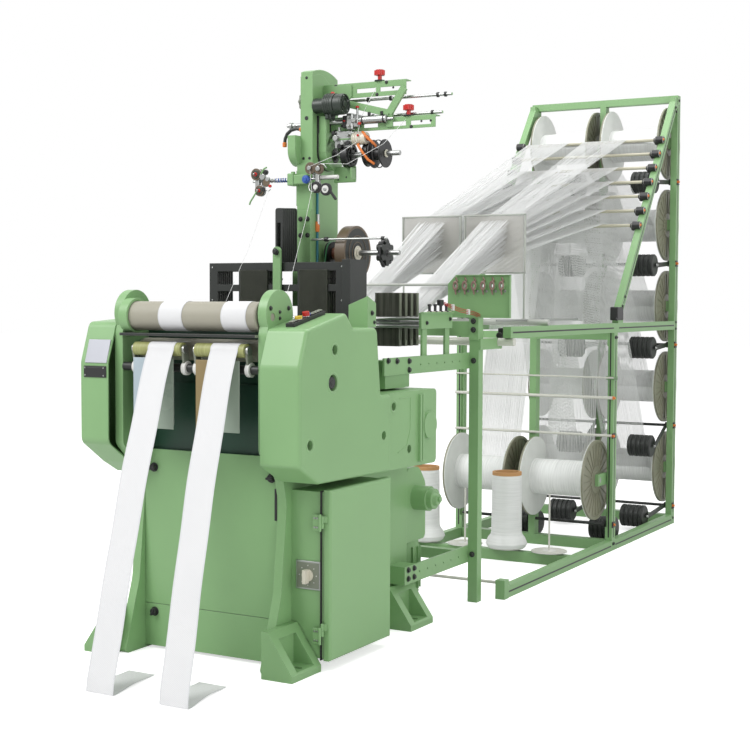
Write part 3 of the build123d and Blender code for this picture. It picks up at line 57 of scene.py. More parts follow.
turn_left = math.radians(29.1346)
look_down = math.radians(3.0398)
roll = math.radians(0.23787)
bpy.ops.object.camera_add(location=at(2500, -3400, 1120))
camera = bpy.context.object
camera.name = "view"
level = Matrix.Rotation(math.pi / 2 - look_down, 4, "X")
aim = Matrix.Rotation(turn_left, 4, "Z") @ level @ Matrix.Rotation(roll, 4, "Z")
camera.rotation_euler = aim.to_euler()
camera.data.lens = 67.28
camera.data.sensor_width = 36
camera.data.clip_end = 60
bpy.context.scene.camera = camera
bpy.context.scene.view_settings.view_transform = "Standard"

# The studio: a pale floor that shows as plain white and keeps the machine's shadow, a
# large soft lamp high on the left, a weaker one on the right, and an even white room.

lamps = [
    ("key_lamp", (-3.2, -6.0, 6.4), 4.0, 430),
    ("top_lamp", (0.5, 0.8, 6.5), 5.0, 230),
    ("fill_lamp", (6.0, -3.0, 2.6), 4.0, 110),
]
for name, spot, size, power in lamps:
    bpy.ops.object.light_add(type="AREA", location=spot)
    lamp = bpy.context.object
    lamp.name = name
    lamp.data.shape = "SQUARE"
    lamp.data.size = size
    lamp.data.energy = power
    lamp.rotation_euler = (Vector((0, 0.3, 0.7)) - Vector(spot)).to_track_quat("-Z", "Y").to_euler()


def feed(tree, node, inputs):
    """Fills a node's inputs, each with a constant, another node or one of its outputs."""
    for socket, value in inputs.items():
        if isinstance(value, bpy.types.Node):
            value = next(output for output in value.outputs if output.enabled)
        if isinstance(value, bpy.types.NodeSocket):
            tree.links.new(value, node.inputs[socket])
        else:
            node.inputs[socket].default_value = value


def add_node(tree, kind, inputs=(), **settings):
    """A shader node with its settings, and with its inputs fed."""
    node = tree.nodes.new(f"ShaderNode{kind}")
    for name, value in settings.items():
        setattr(node, name, value)
    feed(tree, node, dict(inputs))
    return node


def maths(tree, operation, *terms, clamp=False):
    """One sum on values of a shader."""
    return add_node(tree, "Math", enumerate(terms), operation=operation, use_clamp=clamp)


room = bpy.data.worlds.new("room")
bpy.context.scene.world = room
room.use_nodes = True
tree = room.node_tree
tree.nodes.clear()
seen = add_node(tree, "LightPath").outputs
ambient = add_node(tree, "Background", {"Color": (1, 1, 1, 1), "Strength": 0.5})
white = add_node(tree, "Background", {"Color": (1, 1, 1, 1), "Strength": 1.0})
glass_or_gloss = maths(tree, "MAXIMUM", seen["Is Glossy Ray"], seen["Is Transmission Ray"])
either = maths(tree, "MAXIMUM", seen["Is Camera Ray"], glass_or_gloss)
mix = add_node(tree, "MixShader", {0: either, 1: ambient, 2: white})
add_node(tree, "OutputWorld", {"Surface": mix})

bpy.ops.mesh.primitive_plane_add(size=60, location=(0, 0, 0))
floor = bpy.context.object
floor.name = "floor"
floor_paint = bpy.data.materials.new("floor_paint")
floor_paint.use_nodes = True
tree = floor_paint.node_tree
tree.nodes.clear()
seen = add_node(tree, "LightPath").outputs
matt = add_node(tree, "BsdfDiffuse", {"Color": (0.8, 0.8, 0.8, 1)})
glow = add_node(tree, "Emission", {"Strength": 0.62})
lift = add_node(tree, "AddShader", {0: matt, 1: glow})
mix = add_node(tree, "MixShader", {0: seen["Is Camera Ray"], 1: matt, 2: lift})
add_node(tree, "OutputMaterial", {"Surface": mix})
floor.data.materials.append(floor_paint)

# Light green machine enamel: sprayed over castings and folded sheet alike, satin, a touch
# paler on its corners, partly wear and partly a painted highlight, with faint clouding and
# the fine orange peel of sprayed paint.


def coat_group():
    """Clouding, pale edges (wear and a painted highlight) and orange peel, shared by every painted or
    moulded finish.
    """
    group = bpy.data.node_groups.new("sprayed_coat", "ShaderNodeTree")
    sockets = group.interface
    for name, kind, value in (
        ("Colour", "Color", (0.5, 0.5, 0.5, 1)),
        ("Edge Wear And Highlight", "Color", (0.8, 0.8, 0.8, 1)),
        ("Edge", "Float", 0.5),
        ("Clouding", "Float", 0.08),
        ("Peel Scale", "Float", 300.0),
        ("Roughness", "Float", 0.4),
    ):
        socket = sockets.new_socket(name, in_out="INPUT", socket_type=f"NodeSocket{kind}")
        socket.default_value = value
    for name, kind in (
        ("Colour", "Color"),
        ("Roughness", "Float"),
        ("Height", "Float"),
        ("Round Normal", "Vector"),
    ):
        sockets.new_socket(name, in_out="OUTPUT", socket_type=f"NodeSocket{kind}")
    given = group.nodes.new("NodeGroupInput").outputs
    result = group.nodes.new("NodeGroupOutput")
    place = add_node(group, "TexCoord").outputs["Object"]
    cloud = add_node(group, "TexNoise", {"Vector": place, "Scale": 5.0, "Detail": 5.0})
    centred = maths(group, "SUBTRACT", cloud, 0.5)
    swing = maths(group, "MULTIPLY_ADD", centred, given["Clouding"], 1.0)
    clouded = add_node(group, "VectorMath", {0: given["Colour"], "Scale": swing}, operation="SCALE")
    corner = add_node(group, "Bevel", {"Radius": 0.0022}, samples=4)
    surface = add_node(group, "NewGeometry").outputs["Normal"]
    dot = add_node(group, "VectorMath", {0: corner, 1: surface}, operation="DOT_PRODUCT")
    edge = add_node(group, "MapRange", {"Value": dot, "From Min": 0.985, "From Max": 0.80})
    chip = add_node(group, "TexNoise", {"Vector": place, "Scale": 45.0})
    # Paler corners: partly wear, partly a painted highlight where the rounded edges catch the light.
    wear_and_highlight = maths(group, "MULTIPLY", edge, chip)
    share = maths(group, "MULTIPLY", wear_and_highlight, given["Edge"], clamp=True)
    colours = {"Factor": share, "A": clouded, "B": given["Edge Wear And Highlight"]}
    paint = add_node(group, "Mix", colours, data_type="RGBA")
    grain = {"Vector": place, "Scale": given["Peel Scale"], "Detail": 2.0}
    peel = add_node(group, "TexNoise", grain)
    dull = maths(group, "MULTIPLY_ADD", centred, 0.22, given["Roughness"])
    feed(group, result, {"Colour": paint, "Roughness": dull, "Height": peel, "Round Normal": corner})
    return group


sprayed_coat = coat_group()


def plain_finish(name, colour, alpha=1):
    """A new material, its node tree and its shader."""
    finish = bpy.data.materials.new(name)
    finish.use_nodes = True
    finish.diffuse_color = (*colour, alpha)
    return finish, finish.node_tree, finish.node_tree.nodes["Principled BSDF"]


def coated(
    name, colour, edge_wear_and_highlight, roughness, edge=0.5, clouding=0.1, peel=300.0, depth=0.05, metallic=0.0
):
    """A painted, blackened or moulded finish."""
    finish, tree, shader = plain_finish(name, colour)
    coat = {
        "Colour": (*colour, 1),
        "Edge Wear And Highlight": (*edge_wear_and_highlight, 1),
        "Edge": edge,
        "Clouding": clouding,
        "Peel Scale": peel,
        "Roughness": roughness,
    }
    skin = add_node(tree, "Group", coat, node_tree=sprayed_coat).outputs
    bump = {"Strength": depth, "Distance": 0.002, "Height": skin["Height"], "Normal": skin["Round Normal"]}
    relief = add_node(tree, "Bump", bump)
    feed(tree, shader, {"Base Color": skin["Colour"], "Roughness": skin["Roughness"], "Normal": relief})
    feed(tree, shader, {"Metallic": metallic})
    return finish


def dress(finish, *names):
    """Gives CAD nodes their finish in place of the plain one."""
    for name in names:
        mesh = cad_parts[name].data
        mesh.materials.clear()
        mesh.materials.append(finish)


green = coated("green_enamel", (0.225, 0.405, 0.180), (0.40, 0.57, 0.36), 0.38, edge=0.9, clouding=0.14)
dress(
    green,
    "side_plate_left",
    "side_plate_right",
    "tie_beams",
    "machine_feet",
    "front_panels",
    "left_cover",
    "gear_cover",
    "cabinet_body",
    "cabinet_door",
    "tower_column",
    "feeder_arms",
    "rear_frame",
    "eyelet_panel",
    "creel_side_left",
    "creel_side_right",
    "creel_middle",
    "drive_motor",
)

# Bolts: blackened hexagon heads on washers and socket screws, wherever two castings or
# rails meet. Each kind is modelled once and copied to its places.

black_steel = coated(
    "blackened_steel",
    (0.018, 0.021, 0.019),
    (0.10, 0.11, 0.10),
    0.42,
    edge=0.7,
    clouding=0.5,
    peel=500,
)


def bare():
    """Nothing stays selected."""
    bpy.ops.object.select_all(action="DESELECT")


def join(pieces):
    """Several loose pieces made one mesh."""
    bare()
    for piece in pieces:
        piece.select_set(True)
    bpy.context.view_layer.objects.active = pieces[0]
    if len(pieces) > 1:
        bpy.ops.object.join()
    return bpy.context.object


def settle(piece, name, finish, body="machine_frame"):
    """A finished piece, or a list made one: it rides on its body, if it has one."""
    if isinstance(piece, list):
        piece = join(piece)
    bare()
    piece.select_set(True)
    bpy.context.view_layer.objects.active = piece
    bpy.ops.object.transform_apply(location=True, rotation=True, scale=True)
    piece.name = name
    piece.data.name = name
    piece.data.materials.clear()
    piece.data.materials.append(finish)
    if body:
        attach(piece, body)
    return piece


def rounded(piece, width):
    """Breaks a piece's sharp edges for good."""
    bevel = piece.modifiers.new("edge", "BEVEL")
    bevel.width = width / 1000
    bevel.segments = 1
    bevel.limit_method = "ANGLE"
    bevel.angle_limit = math.radians(40)
    bpy.context.view_layer.objects.active = piece
    bpy.ops.object.modifier_apply(modifier=bevel.name)
    bpy.ops.object.shade_smooth_by_angle(angle=math.radians(35))
    return piece


def block(x0, x1, y0, y1, z0, z1, edge=0.8):
    """A sawn or folded piece between six planes of the drawing, with its edges broken."""
    bare()
    bpy.ops.mesh.primitive_cube_add(size=1, location=at((x0 + x1) / 2, (y0 + y1) / 2, (z0 + z1) / 2))
    piece = bpy.context.object
    piece.scale = ((x1 - x0) / 1000, (y1 - y0) / 1000, (z1 - z0) / 1000)
    bpy.ops.object.transform_apply(location=True, rotation=True, scale=True)
    return rounded(piece, min(edge, 0.3 * min(x1 - x0, y1 - y0, z1 - z0))) if edge else piece


def peg(x, y, z, towards, length, radius, sides=20, edge=0.6, tip=None):
    """A turned piece that starts at a point of the drawing and runs along a direction."""
    bare()
    bpy.ops.mesh.primitive_cone_add(
        vertices=sides,
        radius1=radius / 1000,
        radius2=(radius if tip is None else tip) / 1000,
        depth=length / 1000,
    )
    piece = bpy.context.object
    turn = Vector(towards).to_track_quat("Z", "Y").to_matrix().to_4x4()
    rise = Matrix.Translation((0, 0, length / 2000))
    piece.data.transform(Matrix.Translation(at(x, y, z)) @ turn @ rise)
    return rounded(piece, min(edge, 0.3 * min(length, radius))) if edge else piece


RIGHT = (1, 0, 0)
LEFT = (-1, 0, 0)
FRONT = (0, -1, 0)
REAR = (0, 1, 0)
UP = (0, 0, 1)
DOWN = (0, 0, -1)


def facing(x, y, z, towards, turn=0.0, size=1.0):
    """Where a copied fitting goes: modelled along +Z at the row's zero, it points towards."""
    ahead = Vector(towards).to_track_quat("Z", "Y").to_matrix().to_4x4()
    return Matrix.Translation(at(x, y, z)) @ ahead @ Matrix.Rotation(turn, 4, "Z") @ Matrix.Scale(size, 4)


def set_out(master, places):
    """Copies of one fitting at their places, made one mesh."""
    copies = []
    for place in places:
        copy = master.copy()
        copy.data = master.data.copy()
        copy.data.transform(place)
        bpy.context.collection.objects.link(copy)
        copies.append(copy)
    bpy.data.objects.remove(master)
    return join(copies)


def row(piece, count, step):
    """A piece repeated along a line, with the same step in millimetres each time."""
    again = piece.modifiers.new("again", "ARRAY")
    again.count = count
    again.use_relative_offset = False
    again.use_constant_offset = True
    again.constant_offset_displace = Vector(step) / 1000
    bpy.context.view_layer.objects.active = piece
    bpy.ops.object.modifier_apply(modifier=again.name)
    return piece


def home(*pieces):
    """A fitting made of several pegs, brought from the drawing's zero to the row's."""
    fitting = join(list(pieces))
    fitting.data.transform(Matrix.Translation(-at(0, 0, 0)))
    return fitting


def studs(places, height, radius, sides, edge, name, finish, body="machine_frame"):
    """Round heads of one size, set out at their places."""
    head = home(peg(0, 0, 0, UP, height, radius, sides, edge))
    return settle(set_out(head, places), name, finish, body)


def hex_bolt(radius=8.0, height=6.0):
    """One bolt head on its washer, with a chamfered crown."""
    return home(
        peg(0, 0, 0, UP, 1.6, radius * 1.35, 18, 0.3),
        peg(0, 0, 1.0, UP, height, radius, 6, 0.7),
        peg(0, 0, 1.0 + height * 0.95, UP, height * 0.16, radius * 0.82, 18, 0, radius * 0.7),
    )


def socket_screw(radius=7.0, height=5.0):
    """One socket-head screw: a round head with a round hole sunk in it."""
    head = peg(0, 0, 0, UP, height, radius, 18, 0)
    for face in head.data.polygons:
        face.select = face.normal.z > 0.9
    bpy.ops.object.mode_set(mode="EDIT")
    bpy.ops.mesh.select_mode(type="FACE")
    bpy.ops.mesh.inset(thickness=radius * 0.00012)
    bpy.ops.transform.translate(value=(0, 0, radius * 0.0001))
    bpy.ops.mesh.inset(thickness=radius * 0.0004)
    bpy.ops.mesh.extrude_region_move(TRANSFORM_OT_translate={"value": (0, 0, -height * 0.0006)})
    bpy.ops.object.mode_set(mode="OBJECT")
    return home(rounded(head, radius * 0.05))


hexes = [
    facing(217, 62, 1096, RIGHT, 0.2, 0.7),
    facing(217, 160, 1096, RIGHT, 0.5, 0.7),
    facing(217, 112, 1085, RIGHT, 0.1, 0.55),
    facing(217, 112, 1066, RIGHT, 0.4, 0.55),
    facing(284, 664, 921, RIGHT, 0.3),
    facing(284, 726, 918, RIGHT, 0.1),
    facing(284, 813, 915, RIGHT, 0.6),
    facing(284, 813, 885, RIGHT, 0.2),
    facing(284, 815, 198, RIGHT, 0.2),
    facing(284, 858, 198, RIGHT, 0.5),
    facing(284, 815, 168, RIGHT, 0.4),
    facing(284, 858, 168, RIGHT, 0.0),
    facing(303, 1283, 1046, FRONT, 0.3),
    facing(303, 1283, 1014, FRONT, 0.0),
    facing(303, 1287, 900, FRONT, 0.2),
    facing(303, 1287, 180, FRONT, 0.2),
    facing(284, 945, 1043, RIGHT, 0.2, 0.7),
    facing(284, 1127, 1055, RIGHT, 0.4, 0.7),
    facing(300, 525, 1080, RIGHT, 0.3, 0.8),
    facing(300, 540, 1050, RIGHT, 0.1, 0.6),
    facing(-53.5, 508, 1278, FRONT, 0.3, 0.9),
]
for y in (60, 760):
    for x, way in ((-352, LEFT), (217, RIGHT)):
        hexes.append(facing(x + 11 * way[0], y + 40, 104, way, 0.3))
        hexes.append(facing(x + 11 * way[0], y + 118, 104, way, 0.1))
for x in (-48, -20):
    for z in (1130, 1180, 1340, 1395):
        hexes.append(facing(x, 648, z, FRONT, 0.1 * z, 0.8))
for x in (-20, 12):
    hexes.append(facing(x, 752, 1686, UP, 0.3, 0.7))
settle(set_out(hex_bolt(), hexes), "hexagon_bolts", black_steel)

# Bare plates, locks and holes of the front: a blank silver plate and a blank black one on
# the left cover, three black knobs and a finger slot on the panels, five holes by the foot;
# the slot and the holes are black shapes of painted shade.

bright_steel = coated("bright_steel", (0.40, 0.41, 0.40), (0.7, 0.7, 0.7), 0.3, clouding=0.2, metallic=0.9)
# Black plastic; the same finish also paints the shade in holes, slots and gaps.
black_plastic = coated(
    "black_plastic",
    (0.016, 0.016, 0.017),
    (0.06, 0.06, 0.06),
    0.4,
    clouding=0.3,
    peel=900,
)
rivets = []
for x in (-442, -368):
    for z in (882, 906):
        rivets.append(facing(x, 3.4, z, FRONT, 0, 0.3))
plate = join([block(-447, -358, 3.4, 7, 876, 912, 0.5), block(-440, -365, 2.9, 4, 881, 907, 0.3)])
settle(plate, "cover_plate_black", black_plastic)
silver = coated("silver_plate", (0.42, 0.43, 0.47), (0.6, 0.6, 0.62), 0.35, clouding=0.08, metallic=0.4)
plate = block(-443, -356, -1.4, 1.2, -38, 38, 0.5)
plate.data.transform(Matrix.Translation(-at(0, 0, 0)))
plate.data.transform(
    Matrix.Translation(at(0, 15.8, 958)) @ Matrix.Rotation(-math.atan2(42.0, 137.0), 4, "X")
)
settle(plate, "cover_plate_silver", silver)
studs(rivets, 5, 8, 14, 1.5, "cover_plate_rivets", bright_steel)


def turn_lock():
    """A black quarter-turn lock: a washer, a barrel and its grip bar."""
    pieces = [
        peg(0, 0, 0, UP, 3, 15, 24, 0.8),
        peg(0, 0, 3, UP, 11, 11, 24, 1.5),
        block(-12, 12, -3.5, 3.5, 10, 20, 1.2),
    ]
    return home(*pieces)


locks = [
    facing(-284, 150, 586, FRONT, 0.4),
    facing(-284, 150, 121, FRONT, 1.2),
    facing(164, 150, 580, FRONT, 0.1),
]
settle(set_out(turn_lock(), locks), "panel_locks", black_plastic)
# The finger slot's recess: black blocks as painted shade.
slot = join([block(174, 183, 148.4, 151, 450, 548, 2.5), block(176, 181, 147.8, 149, 454, 544, 1.5)])
settle(slot, "finger_slot", black_plastic)
# Black discs as painted shade in the five holes.
holes = [
    facing(x, 38.9, z, FRONT)
    for x, z in ((-338, 74), (-333, 92), (-341, 104), (-336, 118), (-342, 128))
]
studs(holes, 0.5, 3.4, 14, 0, "plate_front_holes", black_plastic)

# Mouth above the panels: the dark opening over the upper panel, where the ribbons' guides
# hang, closed at its back by a near-black green sheet that is painted shade of the opening.

# Painted shade: near-black green that stands for the shade inside the mouth.
painted_shade_green = coated("mouth_painted_shade", (0.012, 0.055, 0.032), (0.05, 0.14, 0.09), 0.4, clouding=0.5)
mouth = [
    block(-321, 186, 166, 168, 640, 860, 0.3),
    block(-321, 186, 151, 167, 640, 646, 1),
    block(-321, 186, 171, 173, 856, 1052, 0.3),
]
settle(mouth, "mouth_shade_sheet", painted_shade_green)

# Take-up roller: a steel drum covered with warm grey emery cloth, on journals in the two
# plates. The cloth roller behind it, the batten, the needles and the main shaft are steel.

emery = coated(
    "emery_cloth",
    (0.34, 0.325, 0.26),
    (0.5, 0.49, 0.42),
    0.48,
    clouding=0.35,
    peel=1400,
    depth=0.3,
)
dress(emery, "takeup_roller")
dress(bright_steel, "cloth_roller", "batten", "weft_needle_left", "weft_needle_right", "main_shaft")

# Delivery rollers: two small olive rubber rollers with a fine knurl, on pins between
# grey arms that hang on a black shaft with white collars.


def two_tone(tree, factor, dark, pale):
    """A colour between a dark and a pale one."""
    return add_node(tree, "Mix", {"Factor": factor, "A": (*dark, 1), "B": (*pale, 1)}, data_type="RGBA")


def wound(name, dark, pale, pitch, axis, roughness=0.6, depth=0.4, metallic=0.0, soft=0.2):
    """Fine turns along one axis, each a little different: film, thin strips or knurling."""
    finish, tree, shader = plain_finish(name, pale)
    place = add_node(tree, "TexCoord").outputs["Object"]
    ridges = {"Scale": math.pi / (10 * pitch), "Distortion": 0.6, "Detail": 2.0, "Detail Scale": 3.0}
    turns = add_node(tree, "TexWave", {"Vector": place, **ridges}, bands_direction=axis)
    stretch = [160 if way == axis else 6 for way in "XYZ"]
    drawn = add_node(tree, "Mapping", {"Vector": place, "Scale": stretch})
    uneven = add_node(tree, "TexNoise", {"Vector": drawn, "Scale": 1.0, "Detail": 3.0})
    both = maths(tree, "MULTIPLY_ADD", turns.outputs["Fac"], soft, uneven)
    spread = add_node(tree, "MapRange", {"Value": both, "From Min": 0.3, "From Max": 0.75 + soft})
    paint = two_tone(tree, spread, dark, pale)
    relief = add_node(tree, "Bump", {"Strength": depth, "Distance": 0.001, "Height": both})
    feed(tree, shader, {"Base Color": paint, "Roughness": roughness, "Normal": relief})
    feed(tree, shader, {"Metallic": metallic})
    return finish


olive_rubber = wound(
    "olive_rubber",
    (0.24, 0.25, 0.085),
    (0.38, 0.40, 0.16),
    0.002,
    "X",
    0.5,
    0.12,
    soft=0.05,
)
dress(olive_rubber, "delivery_rollers")
olive_grey = coated("olive_grey_steel", (0.20, 0.22, 0.17), (0.45, 0.47, 0.4), 0.4, clouding=0.25)
dress(olive_grey, "roller_brackets")
white_nylon = coated("white_nylon", (0.72, 0.72, 0.69), (0.85, 0.85, 0.82), 0.42, clouding=0.06, peel=600)
sleeves = []
bands = []
for mid_x in (-177, 57):
    for x in (mid_x - 98, mid_x + 91):
        sleeves.append(peg(x - 4.5, 52, 912, RIGHT, 16, 21.6, 32, 1.6))
        bands.append(peg(x - 2, 42, 969, RIGHT, 11, 14, 24, 1.2))
settle(sleeves, "shaft_collars", white_nylon)
settle(bands, "pin_heads", bright_steel)
settle(peg(-322, 52, 912, RIGHT, 509, 13.4, 24, 0.5), "black_shaft_sleeve", black_steel)
settle(block(-321.5, 186.5, 25.6, 60.4, 1008.6, 1017.4, 1.0), "wiper_cover", black_steel)

# Guide plates: two clear acrylic sheets that hang behind the ribbons from the black shaft,
# with a bluish sheet at one side and a brown strip at the other.


def clear_sheet(name, colour, roughness, alpha):
    """Cast acrylic sheet, tinted a little, with hazy scratches."""
    finish, tree, shader = plain_finish(name, colour, alpha)
    place = add_node(tree, "TexCoord").outputs["Object"]
    haze = add_node(tree, "TexNoise", {"Vector": place, "Scale": 30.0, "Detail": 6.0})
    dull = {"Value": haze, "To Min": roughness - 0.08, "To Max": roughness + 0.1}
    dense = {"Value": haze, "To Min": alpha - 0.1, "To Max": alpha + 0.1}
    feed(tree, shader, {"Base Color": (*colour, 1), "IOR": 1.49})
    feed(tree, shader, {"Roughness": add_node(tree, "MapRange", dull)})
    feed(tree, shader, {"Alpha": add_node(tree, "MapRange", dense)})
    return finish


acrylic = clear_sheet("clear_acrylic", (0.62, 0.66, 0.62), 0.16, 0.55)
dress(acrylic, "guide_plates")
bluish = coated("bluish_sheet", (0.42, 0.50, 0.55), (0.6, 0.66, 0.7), 0.3, clouding=0.2)
brown = coated("brown_fibre", (0.27, 0.20, 0.09), (0.42, 0.34, 0.2), 0.45, clouding=0.4)
grey_green = coated("grey_green_sheet", (0.33, 0.40, 0.33), (0.5, 0.56, 0.5), 0.25, clouding=0.1)
settle(block(-268, -216, 26.4, 29.0, 724, 942, 1.2), "guide_sheet_left", bluish)
settle(block(-30, 26, 26.4, 29.0, 724, 940, 1.2), "guide_sheet_right", brown)
fronts = []
tabs = []
for x0, x1 in ((-216, -114), (26, 130)):
    fronts.append(block(x0, x1, 26.4, 29.0, 724, 940, 1.2))
    tabs += [
        block(x0 - 40, x0 - 26, 28.8, 40.5, 904, 920, 1),
        block(x1 - 30, x1 - 16, 28.8, 40.5, 904, 920, 1),
    ]
settle(fronts, "guide_sheets_front", grey_green)
settle(tabs, "guide_sheet_tabs", black_steel)
settle(
    join([peg(x, 64, 928, FRONT, 3, 5, 16, 0.5) for x in (-248, -170, -10, 70)]),
    "guide_screws",
    black_steel,
)

# Bosses and backing: a turned green boss on the left plate's inner face round the drum's
# end, and the cloth roller's own cover of emery cloth.


def hoop(x, y, z, towards, length, radius, wall, sides=36):
    """A short open tube whose wall lies inside its radius."""
    bare()
    bpy.ops.mesh.primitive_cylinder_add(
        vertices=sides,
        radius=radius / 1000,
        depth=length / 1000,
        end_fill_type="NOTHING",
    )
    piece = bpy.context.object
    turn = Vector(towards).to_track_quat("Z", "Y").to_matrix().to_4x4()
    piece.data.transform(Matrix.Translation(at(x, y, z)) @ turn @ Matrix.Translation((0, 0, length / 2000)))
    shell = piece.modifiers.new("wall", "SOLIDIFY")
    shell.thickness = wall / 1000
    shell.offset = -1.0
    bpy.ops.object.modifier_apply(modifier=shell.name)
    return rounded(piece, 0.5)


settle(hoop(-322, 75, 1070, RIGHT, 33, 55, 8.6, 64), "plate_boss", green)
settle(hoop(-302, 134, 966, RIGHT, 470, 34, 4.8, 48), "cloth_roller_cover", emery, "cloth_roller")

# Ribbons: white polyester tape, 99 mm wide and a millimetre thick, woven with a fine
# twill and firm selvedges. Each comes over its small roller and hangs to the floor.


def woven(name, colour, shade, warp_count, weft_count, edge_share):
    """Twill on the tape's own UV map: U across its width, V along its length."""
    finish, tree, shader = plain_finish(name, colour)
    where = add_node(tree, "TexCoord").outputs
    flat = add_node(tree, "SeparateXYZ", {0: where["UV"]}).outputs
    warp_way = maths(tree, "MULTIPLY", flat["X"], warp_count)
    weft_way = maths(tree, "MULTIPLY", flat["Y"], weft_count)
    diagonal = maths(tree, "ADD", warp_way, weft_way)
    waves = []
    for source, rate in ((diagonal, 1.0), (warp_way, 2.0), (weft_way, 3.0)):
        waves.append(maths(tree, "SINE", maths(tree, "MULTIPLY", source, math.tau * rate / 4)))
    weave = maths(tree, "MULTIPLY_ADD", waves[2], 0.5, maths(tree, "ADD", waves[0], waves[1]))
    side = maths(tree, "PINGPONG", flat["X"], 0.5)
    selvedge = {"Value": side, "From Min": edge_share, "From Max": edge_share * 0.6}
    border = add_node(tree, "MapRange", selvedge)
    cloud = add_node(tree, "TexNoise", {"Vector": where["Object"], "Scale": 9.0})
    # The twill's crests are painted lighter and its hollows darker, towards the bluish shade colour:
    # painted light and shade on the weave's relief.
    crests = {"Value": weave, "From Min": -2.0, "From Max": 2.0, "To Min": 0.25, "To Max": 1.0}
    light = add_node(tree, "MapRange", crests)
    lift = add_node(tree, "MapRange", {"Value": cloud, "To Min": 0.8, "To Max": 1.15})
    firm = maths(tree, "MULTIPLY_ADD", border, -0.35, maths(tree, "MULTIPLY", light, lift))
    rough = add_node(tree, "MapRange", {"Value": cloud, "To Min": 0.62, "To Max": 0.78})
    relief = add_node(tree, "Bump", {"Strength": 0.35, "Distance": 0.0006, "Height": weave})
    paint = two_tone(tree, firm, shade, colour)
    feed(tree, shader, {"Base Color": paint, "Roughness": rough, "Normal": relief})
    feed(tree, shader, {"Sheen Weight": 0.25, "Sheen Roughness": 0.4})
    return finish


tape = woven("white_tape", (0.80, 0.80, 0.80), (0.62, 0.63, 0.65), 60, 700, 0.06)
roller_y, roller_z, roller_r = 42.0, 969.0, 21.0
floor_y, tail, tail_shift = -350.0, 245.0, -40.0
tape_w = 99.0
tape_t = 1.1


def run_of_tape(mid_x, drift, bow, foot_lift):
    """The middle line of one tape, from behind the small roller to its end on the floor."""
    r = roller_r + 0.9
    line = [(mid_x, 108 - 3 * n, roller_z + r) for n in range(0, 22, 3)]
    for n in range(9):
        angle = (math.pi / 2 + math.radians(4)) * n / 8
        line.append((mid_x, roller_y - r * math.sin(angle), roller_z + r * math.cos(angle)))
    top = line[-1]
    foot = (mid_x + drift, floor_y, 2.0)
    steps = 56
    for n in range(1, steps):
        t = n / steps
        sway = bow * math.sin(math.pi * t) * (1 - 0.35 * t)
        x = mid_x + drift * (t ** 1.15)
        y = top[1] + (foot[1] - top[1]) * (t ** 0.93) - sway * 0.2
        z = top[2] + (foot[2] - top[2]) * t
        line.append((x, y, max(z, 3.0)))
    line.append((foot[0], foot[1] + 2.0, 2.4))
    line.append((foot[0] - 0.6, foot[1] + 7.0, 1.6))
    for n in range(1, 17):
        t = n / 16
        rise = foot_lift * math.sin(math.pi * t) ** 2
        line.append((foot[0] + tail_shift * t, foot[1] + 7 + tail * 0.96 * t, 1.4 + rise))
    return line


def cloth_strip(name, lengths, across, spot):
    """A strip of cloth as a grid, thickened, with UVs in step with its length."""
    bare()
    bpy.ops.mesh.primitive_grid_add(x_subdivisions=across, y_subdivisions=len(lengths) - 1, size=1)
    piece = bpy.context.object
    columns = across + 1
    for index, vertex in enumerate(piece.data.vertices):
        step, place = divmod(index, columns)
        vertex.co = spot(step, place / across)
    layer = piece.data.uv_layers.active.data
    for loop in piece.data.loops:
        step, place = divmod(loop.vertex_index, columns)
        layer[loop.index].uv = (place / across, lengths[step] / 1000)
    shell = piece.modifiers.new("thickness", "SOLIDIFY")
    shell.thickness = tape_t / 1000
    shell.offset = 0.0
    bpy.ops.object.modifier_apply(modifier=shell.name)
    bpy.ops.object.mode_set(mode="EDIT")
    bpy.ops.mesh.select_all(action="SELECT")
    bpy.ops.mesh.normals_make_consistent(inside=False)
    bpy.ops.object.mode_set(mode="OBJECT")
    bpy.ops.object.shade_smooth_by_angle(angle=math.radians(50))
    return settle(piece, name, tape)


def laid_tape(name, node, line):
    """A tape across its middle line, with a little cup and ripple where it hangs free."""
    lengths = [0.0]
    for a, b in zip(line, line[1:]):
        lengths.append(lengths[-1] + (Vector(b) - Vector(a)).length)
    whole = lengths[-1]

    def spot(step, place):
        share = place - 0.5
        x, y, z = line[step]
        cup = 1.6 * (4 * share * share) * math.sin(0.02 * lengths[step] + 1.0)
        ripple = 0.9 * math.sin(0.013 * lengths[step] + 5 * share)
        hang = 1.0 if 60 < lengths[step] < whole - tail - 30 else 0.0
        return at(x + share * tape_w, y + hang * (cup + ripple), z)

    piece = cloth_strip(name, lengths, 8, spot)
    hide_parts(node)


laid_tape("tape_left", "ribbon_left", run_of_tape(-156, 63, 26, 5))
laid_tape("tape_right", "ribbon_right", run_of_tape(79, 90, 20, 7))

# Web: the woven tape leaves the reed, runs flat to the take-up roller and lies round the
# emery drum for more than half a turn before it goes down to the cloth roller.


def web(name, fell_x, x0, x1):
    """A tape from the fell of the cloth to the drum and round it, on its own UVs."""
    tangent_y = drum_y + drum_r * math.sin(wrap_start)
    tangent_z = drum_z + drum_r * math.cos(wrap_start)
    line = []
    shares = []
    for n in range(12):
        t = n / 12
        line.append((fell_y + (tangent_y - fell_y) * t, fell_z + (tangent_z - fell_z) * t))
        shares.append(t)
    for n in range(49):
        angle = wrap_start + wrap_turn * n / 48
        line.append((drum_y + drum_r * math.sin(angle), drum_z + drum_r * math.cos(angle)))
        shares.append(1.0)
    lengths = [0.0]
    for a, b in zip(line, line[1:]):
        lengths.append(lengths[-1] + math.dist(a, b))
    width = x1 - x0

    def spot(step, place):
        near = fell_x + (place - 0.5) * width
        far = x0 + width * place
        return at(near + (far - near) * shares[step], *line[step])

    piece = cloth_strip(name, lengths, 4, spot)


